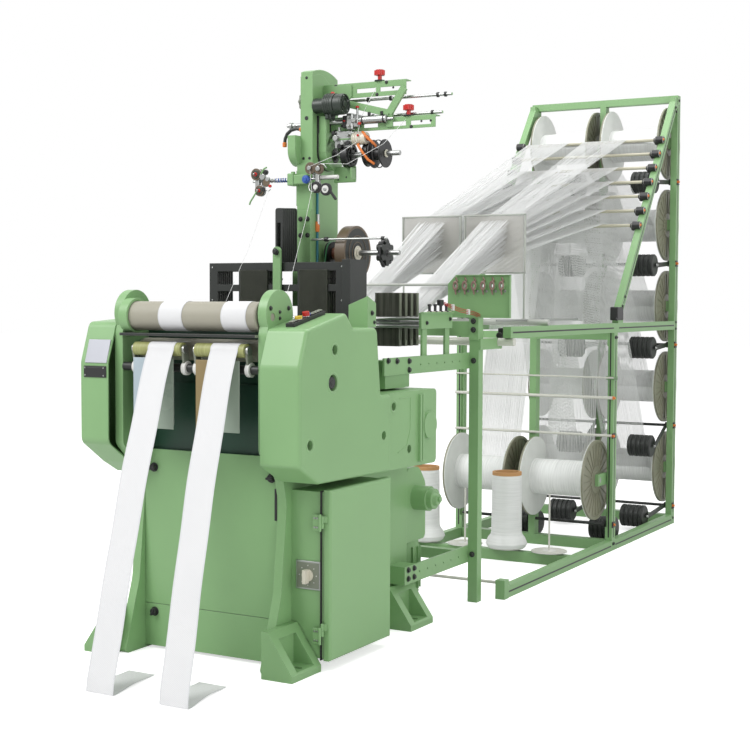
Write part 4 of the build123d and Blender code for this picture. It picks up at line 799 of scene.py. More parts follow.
left_head, right_head = heads = (-157, 77)
fell_y, fell_z = 300, 1041
drum_y, drum_z, drum_r = 75, 1070, 45.9
wrap_start = math.radians(19.3)
wrap_turn = -math.radians(220)
web("web_left", left_head, -174, -85)
web("web_right", right_head, 60, 150)

# Control strip and cabinet front: a dark key strip with round push buttons, a bare olive
# grey switch plate with a silver border, a cream rotary knob, hinges, and a black sheet
# behind the door's edge that paints the shade of its gap.

cream_plastic = coated("cream_plastic", (0.66, 0.63, 0.52), (0.8, 0.78, 0.7), 0.35, clouding=0.06, peel=700)
red_plastic = coated("red_plastic", (0.55, 0.022, 0.018), (0.7, 0.12, 0.1), 0.3, clouding=0.06, peel=700)
yellow_plastic = coated(
    "yellow_plastic",
    (0.72, 0.50, 0.04),
    (0.8, 0.65, 0.2),
    0.3,
    clouding=0.06,
    peel=700,
)
blue_plastic = coated("blue_plastic", (0.03, 0.10, 0.42), (0.15, 0.25, 0.6), 0.3, clouding=0.06, peel=700)
dress(black_plastic, "control_strip")
dress(yellow_plastic, "start_button")
dress(red_plastic, "stop_button", "arm_knob_upper", "arm_knob_lower")
dress(cream_plastic, "main_switch_knob")
slope = math.radians(11.85)
strip_up = (0, -math.sin(slope), math.cos(slope))


def on_strip(along, across, rise):
    """A point on the control strip, which lies on the cover's sloping top."""
    y = 164 + along * math.cos(slope) - rise * math.sin(slope)
    z = 1059.3 + along * math.sin(slope) + rise * math.cos(slope)
    return 276 + across, y, z


keys = []
for along in (-78, -62, 34, 50, 66, 82):
    keys.append(facing(*on_strip(along, 0, 12.0), strip_up))
key = home(block(-8, 8, -5.5, 5.5, 0, 3.4, 1.0), block(-6, 6, -3.8, 3.8, 3, 4.4, 0.6))
settle(set_out(key, keys), "strip_keys", olive_grey)
lamp_cap = home(peg(0, 0, 0, UP, 6, 6, 18, 1.2), peg(0, 0, 6, UP, 1.4, 4.6, 18, 0.4))
settle(set_out(lamp_cap, [facing(*on_strip(20, 0, 12.0), strip_up)]), "strip_lamp_blue", blue_plastic)
rings = [facing(*on_strip(along, 0, 12.2), strip_up) for along in (-41, 0)]
studs(rings, 2.4, 13.2, 28, 0.6, "button_rings", bright_steel)
settle(block(234, 322, 175.2, 178.8, 245, 333, 1.2), "switch_plate_border", bright_steel)
settle(block(239, 317, 174.4, 176.4, 250, 328, 0.8), "switch_plate_face", olive_grey)
marks = []
for n in range(8):
    angle = math.radians(n * 45)
    marks.append(facing(278 + 30 * math.cos(angle), 174.3, 289 + 30 * math.sin(angle), FRONT, 0, 0.6))
studs(marks, 1, 3, 12, 0.3, "switch_plate_dots", white_nylon)
hinges = []
for z in (109, 453):
    hinges.append(block(300, 325, 165.6, 168.4, z - 24, z + 24, 0.8))
    hinges.append(peg(325, 166.5, z - 26, UP, 52, 4.6, 18, 0.6))
settle(hinges, "cabinet_hinges", green)
screws = [
    facing(307 + dx, 165.8, z + dz, FRONT, 0, 0.45)
    for z in (109, 453)
    for dx in (0, 9)
    for dz in (-14, 14)
]
settle(set_out(socket_screw(), screws), "hinge_screws", bright_steel)
# Painted shade: a black sheet behind the door's edge that darkens the gap between door and body.
gap_shade = block(323.2, 326.4, 170.5, 557.5, 34.5, 548.5, 0)
settle(gap_shade, "door_gap_shade", black_plastic)

# Gear cover: the counterbored holes show their screws, the middle one the dark end of a
# shaft, and a raised line runs round the embossed pad of the rear arm.

sunk = [facing(355 - 24, y, z, RIGHT, 0.3, 1.3) for y, z in ((202, 972), (62, 697))]
sunk += [facing(341 - 24, y, z, RIGHT, 0.3, 1.2) for y, z in ((509, 690), (600, 776), (710, 628))]
settle(set_out(socket_screw(7, 8), sunk), "cover_screws", black_steel)
shaft_end = [peg(331, 191, 874, RIGHT, 22, 19, 32, 2.4), peg(352, 191, 874, RIGHT, 3, 9, 24, 1.0)]
settle(shaft_end, "cover_shaft_end", black_steel)


def torus(x, y, z, turn, radius, wire, around, across=12, stretch=(1, 1, 1)):
    """A ring of round wire; stretched, it is a flattened lip or an oval eye."""
    bare()
    bpy.ops.mesh.primitive_torus_add(
        location=at(x, y, z),
        rotation=turn,
        major_radius=radius / 1000,
        minor_radius=wire / 1000,
        major_segments=around,
        minor_segments=across,
    )
    piece = bpy.context.object
    piece.scale = stretch
    bpy.ops.object.transform_apply(location=True, rotation=True, scale=True)
    return piece


FACING_RIGHT = (0, math.pi / 2, 0)
FACING_FRONT = (math.pi / 2, 0, 0)
lips = []
for x, y, z, r in (
    (355, 202, 972, 15),
    (355, 191, 874, 25),
    (355, 62, 697, 15),
    (341, 509, 690, 14),
    (341, 600, 776, 14),
):
    lips.append(torus(x - 0.6, y, z, FACING_RIGHT, r + 5.0, 3.4, 48, stretch=(1, 1, 0.55)))
settle(lips, "cover_hole_lips", green)


def tubes(name, paths, radius, finish, sides=0, body="machine_frame"):
    """Round wire or thread along each path of drawing points, made a mesh."""
    bare()
    line = bpy.data.curves.new(name, "CURVE")
    line.dimensions = "3D"
    line.bevel_depth = radius / 1000
    line.bevel_resolution = sides
    line.use_fill_caps = True
    for path in paths:
        spline = line.splines.new("POLY")
        spline.points.add(len(path) - 1)
        for point, spot in zip(spline.points, path):
            point.co = (*at(*spot), 1)
    piece = bpy.data.objects.new(name, line)
    bpy.context.collection.objects.link(piece)
    piece.select_set(True)
    bpy.context.view_layer.objects.active = piece
    bpy.ops.object.convert(target="MESH")
    return settle(bpy.context.object, name, finish, body)


pad = [(340.6, 640, 800), (340.6, 716, 800), (340.6, 716, 690), (340.6, 690, 640), (340.6, 630, 622)]
tubes("cover_raised_line", [pad], 2.4, green, 2)

# Harness: blackened frames whose windows are packed with thin flat healds, riding on the
# two sets of frames, with the combs that guide them and the green arm's pin.

dress(
    black_steel,
    "harness_frames_a",
    "harness_frames_b",
    "harness_combs",
    "brake_weights",
    "feeder_motor",
    "weft_disc",
)
olive_black = coated(
    "olive_black_heald",
    (0.045, 0.050, 0.036),
    (0.20, 0.21, 0.16),
    0.36,
    edge=0.7,
    clouding=0.5,
    peel=800,
)


def frame_y(index):
    """The middle plane of one of the eight harness frames."""
    return 526 + 12 * index


for letter, first in (("a", 0), ("b", 1)):
    healds = []
    ends = []
    for index in range(first, 8, 2):
        middle = frame_y(index)
        for head_x in heads:
            strip = block(head_x - 47.5, head_x - 45.7, middle - 2.6, middle + 2.6, 958, 1217, 0)
            healds.append(row(strip, 27, (4.0, 0, 0)))
            for z in (1146, 1188):
                ends.append(block(head_x - 49, head_x + 60, middle - 4.6, middle + 4.6, z, z + 6, 0.6))
    if letter == "a":
        for head_x in heads:
            strip = block(head_x - 47.5, head_x - 45.3, 515.4, 521.6, 962, 1221, 0.6)
            healds.append(row(strip, 27, (4.0, 0, 0)))
    body = f"harness_frames_{letter}"
    settle(healds, f"healds_{letter}", olive_black, body)
    settle(ends, f"heald_bars_{letter}", black_steel, body)
for letter, first in (("a", 0), ("b", 1)):
    pegs = []
    for index in range(first, 8, 2):
        middle = frame_y(index)
        for x in (-324, 189):
            for z in (1000, 1120, 1230):
                pegs.append(facing(x, middle - 4, z, FRONT, 0, 0.4))
    studs(pegs, 3, 7, 14, 1, f"frame_rivets_{letter}", bright_steel, f"harness_frames_{letter}")
pin_head = join(
    [peg(-53.5, 499, 1281, FRONT, 6, 8, 6, 0.8), peg(-53.5, 500, 1281, FRONT, 1.5, 11, 20, 0.4)]
)
settle(pin_head, "guide_pin_nut", black_steel)

# Weft column: a green upright with an arched crown, bolted to its bracket; the right
# housing has a flat-topped cap with two screws, the left one a star wheel and stub shafts.

crown = peg(-55.2, 735, 1693, RIGHT, 46.4, 211, 120, 0)
bpy.ops.object.mode_set(mode="EDIT")
for spot, away in (((0, 661, 0), (0, -1, 0)), ((0, 827, 0), (0, 1, 0)), ((0, 0, 1800), (0, 0, -1))):
    bpy.ops.mesh.select_all(action="SELECT")
    bpy.ops.mesh.bisect(plane_co=at(*spot), plane_no=away, use_fill=True, clear_outer=True)
bpy.ops.object.mode_set(mode="OBJECT")
settle(rounded(crown, 1.2), "column_crown", green)
cap = join([block(-2, 27.5, 689.3, 815, 1618, 1745, 3), peg(-2, 752.1, 1627, RIGHT, 29.5, 62.9, 64, 2)])
settle(cap, "housing_cap", green)
seam = [block(-8.4, -1.6, 687.4, 692, 1627, 1745, 0.8), hoop(-8.4, 752, 1627, RIGHT, 6.6, 64.8, 5, 64)]
settle(seam, "housing_seam", black_plastic)
screws = [facing(27.5, 717, 1722, RIGHT, 0.2, 0.8), facing(27.5, 757, 1722, RIGHT, 0.6, 0.8)]
# Black strips as painted shade in the cap's slots.
slots = [block(27, 28.2, y - 4, y + 4, 1690, 1738, 0.3) for y in (717, 757)]
settle(slots, "housing_slots", black_plastic)
screws += [
    facing(27.5, 752 + 46 * math.cos(a), 1627 + 46 * math.sin(a), RIGHT, a, 0.5)
    for a in (-0.7, -2.4)
]
settle(set_out(socket_screw(), screws), "housing_screws", bright_steel)
reel_axis = (750, 1613)
bearing = [
    peg(27, *reel_axis, RIGHT, 3, 24, 32, 0.8),
    peg(30, *reel_axis, RIGHT, 5, 15, 28, 1.0),
    peg(27, 757, 1646, RIGHT, 2.6, 12, 24, 0.4),
]
settle(bearing, "axle_bearing", black_steel)
# Black discs as painted shade in the column's holes.
column_spots = ((-32, 1870, 1.0), (-32, 1735, 1.4), (-20, 1600, 1.0), (-44, 1600, 1.0))
holes = [facing(x, 659.8, z, FRONT, 0, s) for x, z, s in column_spots]
holes += [facing(x, 731.8, 1827, FRONT, 0, 0.8) for x in (48, 92, 262, 292)]
holes += [facing(x, 731.8, 1710, FRONT, 0, 0.8) for x in (64, 118, 368, 402)]
studs(holes, 0.6, 5, 16, 0, "column_holes", black_plastic)
wide = join([block(-68, -6, 656.5, 660.5, 1425, 1585, 2.5), block(-72, -56, 657, 664, 1440, 1560, 2)])
settle(wide, "column_face_plate", green)


def star(x, y, z, towards, thick, reach, lobes, lobe):
    """A moulded star wheel: a hub, a web and round lobes on its rim."""
    ahead = Vector(towards).to_track_quat("Z", "Y").to_matrix()
    pieces = [
        peg(x, y, z, towards, thick, reach - lobe * 0.5, 32, 1.5),
        peg(x, y, z, towards, thick * 1.5, reach * 0.34, 24, 1.5),
    ]
    for n in range(lobes):
        angle = math.tau * n / lobes
        off = ahead @ Vector((math.cos(angle), math.sin(angle), 0)) * (reach - lobe)
        pieces.append(peg(x + off.x, y + off.y, z + off.z, towards, thick * 1.08, lobe, 16, 2.0))
    return join(pieces)


settle(star(-57, 690, 1793, LEFT, 9, 31, 8, 7), "star_wheel", olive_grey)
stubs = [
    peg(-56, 694, 1717, LEFT, 74, 6.5, 20, 1.0),
    peg(-108, 694, 1717, LEFT, 12, 11, 24, 1.2),
    peg(-56, 694, 1717, LEFT, 8, 15, 28, 1.0),
]
settle(stubs, "stub_shaft", bright_steel)
orange_rubber = coated("orange_rubber", (0.72, 0.20, 0.04), (0.85, 0.4, 0.15), 0.5, clouding=0.15, peel=700)
bend = [
    (-58, 676, 1700),
    (-84, 676, 1704),
    (-104, 676, 1700),
    (-120, 676, 1688),
    (-128, 676, 1672),
    (-130, 676, 1656),
]
tubes("air_pipe", [bend], 6.0, black_steel, 3)
ends = join([peg(-130, 676, 1660, DOWN, 16, 7.5, 20, 1.5), peg(-58, 676, 1700, LEFT, 10, 8.5, 6, 1)])
settle(ends, "pipe_ends", orange_rubber)

# Gear motor: two blackened barrels on the column's front, the larger with rings turned in
# its face and a ring of screws, and a small red filler cap on top.

motor_green = coated(
    "motor_green_black",
    (0.020, 0.030, 0.022),
    (0.12, 0.14, 0.12),
    0.38,
    edge=0.6,
    clouding=0.4,
)
dress(motor_green, "feeder_motor")
motor_y, motor_z = motor_axis = (678, 1776)
faces = [
    peg(-7, *motor_axis, RIGHT, 46, 25, 40, 2.0),
    peg(76, *motor_axis, RIGHT, 28, 35, 48, 1.6),
    hoop(103.5, *motor_axis, RIGHT, 5, 34, 4.6, 48),
    hoop(103.5, *motor_axis, RIGHT, 4, 23, 2.6, 40),
    peg(104, *motor_axis, RIGHT, 5, 11, 32, 1.5),
    block(40, 62, 660, 694, 1726, 1744, 2),
    block(46, 56, 652, 662, 1728, 1742, 1.5),
]
for x in (42, 49, 56, 63):
    faces.append(hoop(x, *motor_axis, RIGHT, 2.4, 38.4, 2.2, 48))
settle(faces, "motor_rings", motor_green)
ring = []
for a in (0.5, 1.76, 3.0, 4.27, 5.53):
    ring.append(facing(104, motor_y + 28 * math.cos(a), motor_z + 28 * math.sin(a), RIGHT, a, 0.42))
settle(set_out(socket_screw(), ring), "motor_screws", bright_steel)
filler = join([peg(60, 678, 1812, UP, 7, 6, 6, 1), peg(60, 678, 1812, UP, 3, 8, 18, 0.6)])
settle(filler, "filler_cap", red_plastic)

# Arms: bright guide rods with collars, a steel air cylinder in a chromed clamp, braces with
# rivets, and black washers under the two red star knobs.

upper_rod, lower_rod, cylinder_axis = (756, 1796), (756, 1739), (722, 1724)
rods = [
    peg(27, *upper_rod, RIGHT, 440, 5.0, 20, 0.8),
    peg(27, *lower_rod, RIGHT, 406, 5.0, 20, 0.8),
    peg(27, *cylinder_axis, RIGHT, 116, 9.5, 24, 0.8),
    peg(139, *cylinder_axis, RIGHT, 106, 13.7, 32, 1.4),
    peg(245, *cylinder_axis, RIGHT, 24, 5.5, 18, 0.8),
    peg(-7, 654, 1325, RIGHT, 290, 3.6, 16, 0.6),
]
settle(rods, "bright_rods", bright_steel)
rings = [peg(x, *upper_rod, RIGHT, 8, 8.5, 20, 1.0) for x in (150, 236, 412, 440)]
rings += [peg(x, *lower_rod, RIGHT, 8, 8.5, 20, 1.0) for x in (168, 300, 392)]
rings += [
    peg(152, *cylinder_axis, RIGHT, 5, 14.8, 32, 0.8),
    peg(232, *cylinder_axis, RIGHT, 6, 14.8, 32, 0.8),
]
rings += [peg(44, 654, 1325, RIGHT, 14, 8, 20, 1.2), peg(262, 654, 1325, RIGHT, 12, 6.5, 18, 1.2)]
rings += [peg(205, 742, 1851.6, UP, 4.6, 18, 30, 1.0), peg(315, 742, 1729.6, UP, 4.6, 18, 30, 1.0)]
settle(rings, "rod_collars", black_plastic)
chrome = [
    block(98, 122, 702, 742, 1694, 1748, 3),
    block(122, 140, 708, 738, 1702, 1744, 2),
    peg(110, 702, 1706, FRONT, 12, 6, 6, 0.8),
    peg(110, 702, 1734, FRONT, 9, 5, 18, 0.8),
    peg(131, 708, 1722, FRONT, 16, 7, 20, 1.0),
    peg(131, 722, 1744, UP, 22, 4, 16, 0.6),
]
settle(chrome, "cylinder_clamp", bright_steel)
fittings = [
    peg(131, 722, 1766, UP, 7, 6.5, 18, 1.4),
    peg(149, 708, 1712, FRONT, 8, 5, 16, 1.0),
    peg(88, 716, 1724, FRONT, 10, 5, 16, 1),
]
settle(fittings, "clamp_red_bits", red_plastic)
air_bits = [
    peg(176, 722, 1738, UP, 12, 5.5, 18, 1.2),
    peg(224, 722, 1738, UP, 12, 5.5, 18, 1.2),
    block(80, 97, 706, 736, 1700, 1742, 3),
]
settle(air_bits, "air_fittings", black_plastic)
rivet_spots = ((40, 1808), (40, 1846), (200, 1808), (236, 1846), (40, 1694), (330, 1694))
rivets = [facing(x, 731.6, z, FRONT, 0, 0.55) for x, z in rivet_spots]
settle(set_out(hex_bolt(), rivets), "arm_rivets", black_steel)
for place, x, z in (("upper", 205, 1887.6), ("lower", 315, 1765.6)):
    settle(hoop(x, 742, z, UP, 3, 14, 4, 24), f"knob_ring_{place}", red_plastic, f"arm_knob_{place}")

# Belt reel: a cream feed roller drives a black reel through an orange belt; the reel's two
# discs turn on a bright axle, with a smaller dark wheel near the column.

brown_wheel = coated("brown_wheel", (0.13, 0.095, 0.06), (0.3, 0.24, 0.18), 0.4, clouding=0.3)
dress(black_plastic, "feed_reel")
roller_axis = (720, 1664)
rolls = [peg(118, *roller_axis, RIGHT, 52, 20.6, 40, 1.4)]
rolls += [hoop(x, *roller_axis, RIGHT, 2.4, 22.2, 2, 40) for x in (121, 131, 141, 151)]
settle(rolls, "feed_roller_sleeve", cream_plastic)
red_rings = [
    peg(170, *roller_axis, RIGHT, 4, 9, 20, 1),
    peg(112, *roller_axis, RIGHT, 5, 11, 24, 1),
    peg(146, 699.4, 1672, FRONT, 4, 4, 14, 1),
]
settle(red_rings, "feed_roller_caps", red_plastic)
belts = [
    [(150, 722, 1685), (163, 706, 1681), (176, 700, 1668), (196, 708, 1648), (204, 722, 1634)],
    [(142, 712, 1644), (146, 699, 1640), (164, 696, 1616), (184, 700, 1590), (200, 716, 1576)],
]
tubes("feed_belts", belts, 4.6, orange_rubber, 2)
cluster = [
    peg(54, 716, 1668, FRONT, 14, 10, 24, 1.2),
    peg(84, 712, 1650, FRONT, 16, 7.5, 20, 1.2),
    peg(100, 716, 1676, FRONT, 12, 6, 6, 0.8),
    block(44, 112, 716, 724, 1634, 1692, 2),
    peg(66, 712, 1690, UP, 14, 5, 16, 0.8),
]
settle(cluster, "feed_bracket", bright_steel)
springs = [
    peg(70, 715, 1640, FRONT, 12, 9, 20, 1.5),
    peg(44, 714, 1686, FRONT, 8, 7, 18, 1.2),
    peg(104, 708, 1650, FRONT, 8, 8, 18, 1.5),
]
settle(springs, "feed_bracket_knobs", black_plastic)
pulley = join([peg(155, *reel_axis, RIGHT, 15, 38.8, 40, 1), peg(153.5, *reel_axis, RIGHT, 2, 42, 40, 0.6)])
settle(pulley, "feed_belt_pulley", black_plastic, "feed_reel")
axle = [
    peg(35, *reel_axis, RIGHT, 35, 9, 24, 0.8),
    peg(226, *reel_axis, RIGHT, 54, 8.6, 24, 1.2),
    peg(94, *reel_axis, RIGHT, 60, 9, 24, 0.8),
]
settle(axle, "reel_axle_sleeves", bright_steel, "feed_reel")
settle(peg(225.2, *reel_axis, RIGHT, 5, 13, 28, 1.2), "reel_hub", cream_plastic, "feed_reel")
rim = [hoop(x, *reel_axis, RIGHT, 4, 47.4, 3, 48) for x in (178, 196, 221)]
rim.append(hoop(70, *reel_axis, RIGHT, 24, 42, 6, 48))
settle(rim, "reel_rims", black_plastic, "feed_reel")
inner = [hoop(94, *reel_axis, RIGHT, 4, 31, 4, 36), peg(94, *reel_axis, RIGHT, 6, 17, 28, 1.0)]
for n in range(6):
    a = math.tau * n / 6
    inner.append(peg(96, *reel_axis, (0, math.cos(a), math.sin(a)), 29, 2.6, 10, 0.5))
settle(inner, "reel_inner_wheel", black_steel, "feed_reel")
bracket = [block(20, 106, 753, 761, 1522, 1577, 3), block(98, 106, 728, 761, 1530, 1570, 2)]
settle(bracket, "thread_guide_plate", green)
# Black discs as painted shade in the guide plate's holes.
eye = [
    facing(70, 752.8, 1540, FRONT, 0, 0.6),
    facing(94, 752.8, 1564, FRONT, 0, 0.6),
    facing(38, 752.8, 1532, FRONT, 0, 0.6),
]
studs(eye, 0.6, 5, 20, 0, "guide_plate_holes", black_plastic)

# Weft disc: a dark disc with a brown rim and a cream hub on a bright shaft, driven by a green
# belt pulley; a black handwheel with lobes and spokes stands at the shaft's end.

green_belt = coated("green_belt", (0.05, 0.22, 0.09), (0.2, 0.4, 0.25), 0.5, clouding=0.2)
rust_brown = coated("rust_brown_hub", (0.17, 0.065, 0.035), (0.35, 0.2, 0.14), 0.45, clouding=0.3)
disc_y, disc_z = disc_axis = (750, 1281)
rim = [
    hoop(79.4, *disc_axis, RIGHT, 38.2, 92.4, 9, 72),
    hoop(117, *disc_axis, RIGHT, 1.4, 60, 3, 60),
    hoop(117, *disc_axis, RIGHT, 1.4, 38, 3, 48),
]
settle(rim, "weft_disc_rim", brown_wheel, "weft_disc")
hub = [peg(117, *disc_axis, RIGHT, 9, 16, 32, 2), peg(117, *disc_axis, RIGHT, 3, 25, 36, 1)]
settle(hub, "weft_disc_hub", cream_plastic, "weft_disc")
boss = join([peg(24, *disc_axis, RIGHT, 24, 21.5, 32, 2), peg(48, *disc_axis, RIGHT, 31, 15, 28, 1)])
settle(boss, "weft_disc_boss", rust_brown, "weft_disc")
rims = [hoop(7.4, *disc_axis, RIGHT, 3, 41, 4, 48), hoop(21.6, *disc_axis, RIGHT, 3, 41, 4, 48)]
settle(rims, "belt_pulley_rims", black_plastic, "weft_disc")
idler_y, idler_z = idler_axis = (712, 1213)
idler = [peg(-8, *idler_axis, RIGHT, 18, 8, 20, 0.6), peg(8, *idler_axis, RIGHT, 15, 17, 28, 1.5)]
settle(idler, "belt_idler", black_plastic)
small_belt = []
groove_r, idler_r = 39.0, 18.0
line_angle = math.atan2(disc_z - idler_z, disc_y - idler_y)
span = math.hypot(disc_y - idler_y, disc_z - idler_z)
spread = math.acos((idler_r - groove_r) / span)
for n in range(25):
    a = line_angle + spread + (math.tau - 2 * spread) * n / 24
    small_belt.append((16.0, idler_y + idler_r * math.cos(a), idler_z + idler_r * math.sin(a)))
for n in range(33):
    a = line_angle - spread + 2 * spread * n / 32
    small_belt.append((16.0, disc_y + groove_r * math.cos(a), disc_z + groove_r * math.sin(a)))
small_belt.append(small_belt[0])
tubes("weft_drive_belt", [small_belt], 3.0, green_belt, 2)
shaft = join([peg(126, *disc_axis, RIGHT, 84, 8.8, 24, 1), peg(236, *disc_axis, RIGHT, 44, 8.8, 24, 1.4)])
settle(shaft, "weft_shaft", bright_steel, "weft_disc")
wheel = [torus(223, *disc_axis, FACING_RIGHT, 40, 5.2, 56)]
for n in range(6):
    a = math.tau * n / 6 + 0.3
    along = (0, math.cos(a), math.sin(a))
    wheel.append(peg(223, *disc_axis, along, 40, 4.4, 14, 1))
    wheel.append(peg(217.5, disc_y + 42 * math.cos(a), disc_z + 42 * math.sin(a), RIGHT, 11, 8.5, 18, 2))
wheel.append(peg(214, *disc_axis, RIGHT, 22, 15, 28, 2))
settle(wheel, "weft_handwheel", black_plastic, "weft_disc")

# Thread tensioners: brown and black discs with red and white centres on a bright rod, with
# a blue spring, wire hooks and levers; the weft thread runs down from them to each head.

dark_disc = [peg(-206, 612.4, 1549, FRONT, 3, 15, 28, 0.8), peg(-192, 612.4, 1493, FRONT, 3, 13, 28, 0.8)]
settle(dark_disc, "tension_discs_dark", olive_black)
brown_disc = [
    peg(-206, 615.4, 1549, FRONT, 4, 20.4, 32, 1),
    peg(-192, 615.4, 1493, FRONT, 4, 18.4, 32, 1),
    peg(-163, 614, 1519, FRONT, 5, 14, 28, 1),
]
brown_disc += [
    peg(12, 615.4, 1561, FRONT, 4, 20.4, 32, 1),
    peg(44, 622, 1558, FRONT, 10, 18, 32, 1.4),
    peg(-206, 640, 1549, REAR, 4, 20, 32, 1),
]
settle(brown_disc, "tension_discs_brown", brown_wheel)
red_middle = [
    peg(-206, 611, 1549, FRONT, 5, 7, 20, 1.2),
    peg(-192, 611, 1493, FRONT, 5, 6, 20, 1.2),
    peg(-147, 615, 1507, FRONT, 9, 5, 16, 1),
]
settle(red_middle, "tension_discs_red", red_plastic)
shiny = [
    peg(-206, 606, 1549, FRONT, 9, 3.4, 14, 0.8),
    peg(-192, 606, 1493, FRONT, 9, 3.4, 14, 0.8),
    peg(12, 611, 1561, FRONT, 9, 7.5, 20, 1.2),
    peg(44, 611, 1558, FRONT, 6, 8.5, 20, 1.2),
    peg(-233, 636, 1527, RIGHT, 150, 4.8, 20, 0.8),
    peg(-180, 622, 1540, FRONT, 12, 11, 24, 1),
    peg(-158, 618, 1531, FRONT, 10, 8, 20, 1),
    block(-214, -198, 618, 634, 1494, 1548, 2),
    block(26, 40, 620, 636, 1500, 1556, 2),
    peg(72, 611, 1489, FRONT, 5, 6, 18, 1),
]
settle(shiny, "tension_steel", bright_steel)
black_bits = [
    peg(72, 622, 1489, FRONT, 11, 21, 36, 1.6),
    peg(34, 615.4, 1497, FRONT, 4, 19.6, 32, 1),
    block(78, 86, 612, 622, 1444, 1492, 2),
]
black_bits += [peg(-174, 630, 1556, FRONT, 8, 9, 20, 1), peg(-176, 618, 1497, FRONT, 7, 8, 20, 1)]
lever_middle = at(82, 617, 1490)
lean = Matrix.Rotation(math.radians(-38), 4, "Y")
black_bits[2].data.transform(Matrix.Translation(lever_middle) @ lean @ Matrix.Translation(-lever_middle))
settle(black_bits, "tension_black", black_plastic)
settle(
    [
        peg(72, 611, 1489, FRONT, 2, 13, 28, 0.6),
        peg(34, 611.2, 1497, FRONT, 2, 9, 24, 0.6),
        peg(34, 636, 1531, RIGHT, 74, 6.6, 20, 1.4),
    ],
    "tension_white",
    white_nylon,
)
spring = []
for n in range(73):
    a = math.tau * n / 12
    spring.append((-140 + 0.78 * n, 636 + 6.4 * math.cos(a), 1527 + 6.4 * math.sin(a)))
tubes("tension_spring", [spring], 1.7, blue_plastic, 1)
clamp = [
    block(-85, -61, 620, 662, 1507, 1548, 2.5),
    peg(-73, 640, 1546, UP, 9, 7, 18, 1),
    block(-62, -6.5, 624, 661, 1511, 1543, 2),
]
settle(clamp, "tension_clamp", green)
settle(
    [peg(-8, 626, 1525, FRONT, 14, 14, 28, 2.5), peg(-8, 612, 1525, FRONT, 4, 8, 20, 1.5)],
    "tension_knob_blue",
    blue_plastic,
)
levers = [
    [(-200, 611, 1493), (-212, 608, 1474), (-224, 606, 1456), (-228, 606, 1446)],
    [(-184, 611, 1549), (-170, 608, 1566), (-158, 606, 1570)],
]
tubes("tension_levers_green", levers, 3.0, green, 2)
hooks = [
    [(10, 614, 1512), (8, 610, 1498), (14, 607, 1486), (26, 606, 1482), (38, 606, 1487), (44, 606, 1496)],
    [(40, 612, 1566), (56, 607, 1574), (70, 606, 1570), (80, 606, 1558)],
    [(-168, 612, 1504), (-160, 606, 1494), (-150, 606, 1490), (-142, 607, 1496)],
]
tubes("tension_hooks", hooks, 1.7, bright_steel, 2)
teal_lead = coated("teal_lead", (0.02, 0.17, 0.22), (0.15, 0.35, 0.4), 0.4, clouding=0.1)
tubes("sensor_lead", [[(-4.5, 686, z) for z in range(1238, 1507, 12)]], 4.6, teal_lead, 2)
settle(
    [peg(-4.5, 686, 1352, UP, 36, 7.6, 20, 2), peg(-4.5, 686, 1360, UP, 20, 9, 6, 1.5)],
    "lead_fitting",
    orange_rubber,
)
warp_white = coated("warp_white", (0.93, 0.94, 0.93), (0.94, 0.94, 0.94), 0.6, edge=0.1, clouding=0.04)
threads = [
    [(205, 735, 1846), (176, 726, 1792), (150, 718, 1738), (146, 702, 1690), (141, 698, 1650)],
    [(141, 698, 1650), (92, 650, 1604), (44, 612, 1578), (12, 608, 1566), (22, 608, 1484)],
    [(22, 606, 1484), (28, 553, 1371), (32, 500, 1274), (61, 400, 1151), (77, 312, 1044)],
    [(-150, 606, 1490), (-156, 500, 1300), (-158, 400, 1160), (-157, 312, 1044)],
    [(315, 735, 1726), (240, 706, 1640), (140, 640, 1572), (56, 607, 1574)],
]
tubes("weft_threads", threads, 0.8, warp_white, 0)

# Drop wires: thin steel strips with a long slot, hanging on four bars, so close that they
# show as combs. A green rail with black posts and a sensor stands at the bars' right ends.

dropper_steel = wound(
    "dropper_steel",
    (0.10, 0.105, 0.085),
    (0.30, 0.31, 0.26),
    0.0024,
    "X",
    0.42,
    0.1,
    0.35,
)
packs = []
bar_rows = [984 + 44 * n for n in range(4)]
for head_x in heads:
    for y in bar_rows:
        x = head_x - 17
        legs = [
            block(x, x + 0.7, y - 8.6, y - 3.2, 958, 1148, 0),
            block(x, x + 0.7, y + 3.2, y + 8.6, 958, 1148, 0),
            block(x, x + 0.7, y - 3.2, y + 3.2, 1060, 1148, 0),
            block(x, x + 0.7, y - 3.2, y + 3.2, 958, 980, 0),
        ]
        packs.append(row(join(legs), 38, (2.65, 0, 0)))
wires = settle(packs, "dropper_strips", dropper_steel)
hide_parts("drop_wires")
dress(green, "dropper_bars")
rods = [peg(-402, y, 1041, RIGHT, 669, 11.8, 20, 0.8) for y in bar_rows]
rods += [peg(-403, 966, z, RIGHT, 680, 6.5, 20, 0.8) for z in (1030, 1057)]
settle(rods, "dropper_bar_sleeves", bright_steel)
settle(
    join([block(276.4, 283, 908, 1150, 1022, 1079, 1.5), block(276.4, 290, 908, 1150, 1076, 1081, 1.0)]),
    "dropper_rail",
    green,
)
posts = [facing(283, y, 1081, UP, 0) for y in (966, 1010, 1054, 1098)]
post = home(
    peg(0, 0, 0, UP, 22, 5, 16, 0.8),
    peg(0, 0, 20, UP, 8, 7, 16, 1.5),
    peg(0, 0, 0, UP, 3, 9, 16, 0.6),
)
settle(set_out(post, posts), "dropper_posts", black_plastic)
settle(block(279, 288, 956, 1131, 1081, 1083.4, 0.6), "dropper_strip_cream", cream_plastic)
sensor = join([block(276, 292, 1036, 1062, 1104, 1124, 2), peg(284, 1049, 1083, UP, 22, 4, 14, 0.5)])
settle(sensor, "dropper_sensor", black_plastic)

# Eyelet panel: a folded green plate with six brown ceramic eyes, each held by a small screw,
# and thin red wires that run to it from the drop-wire contact.

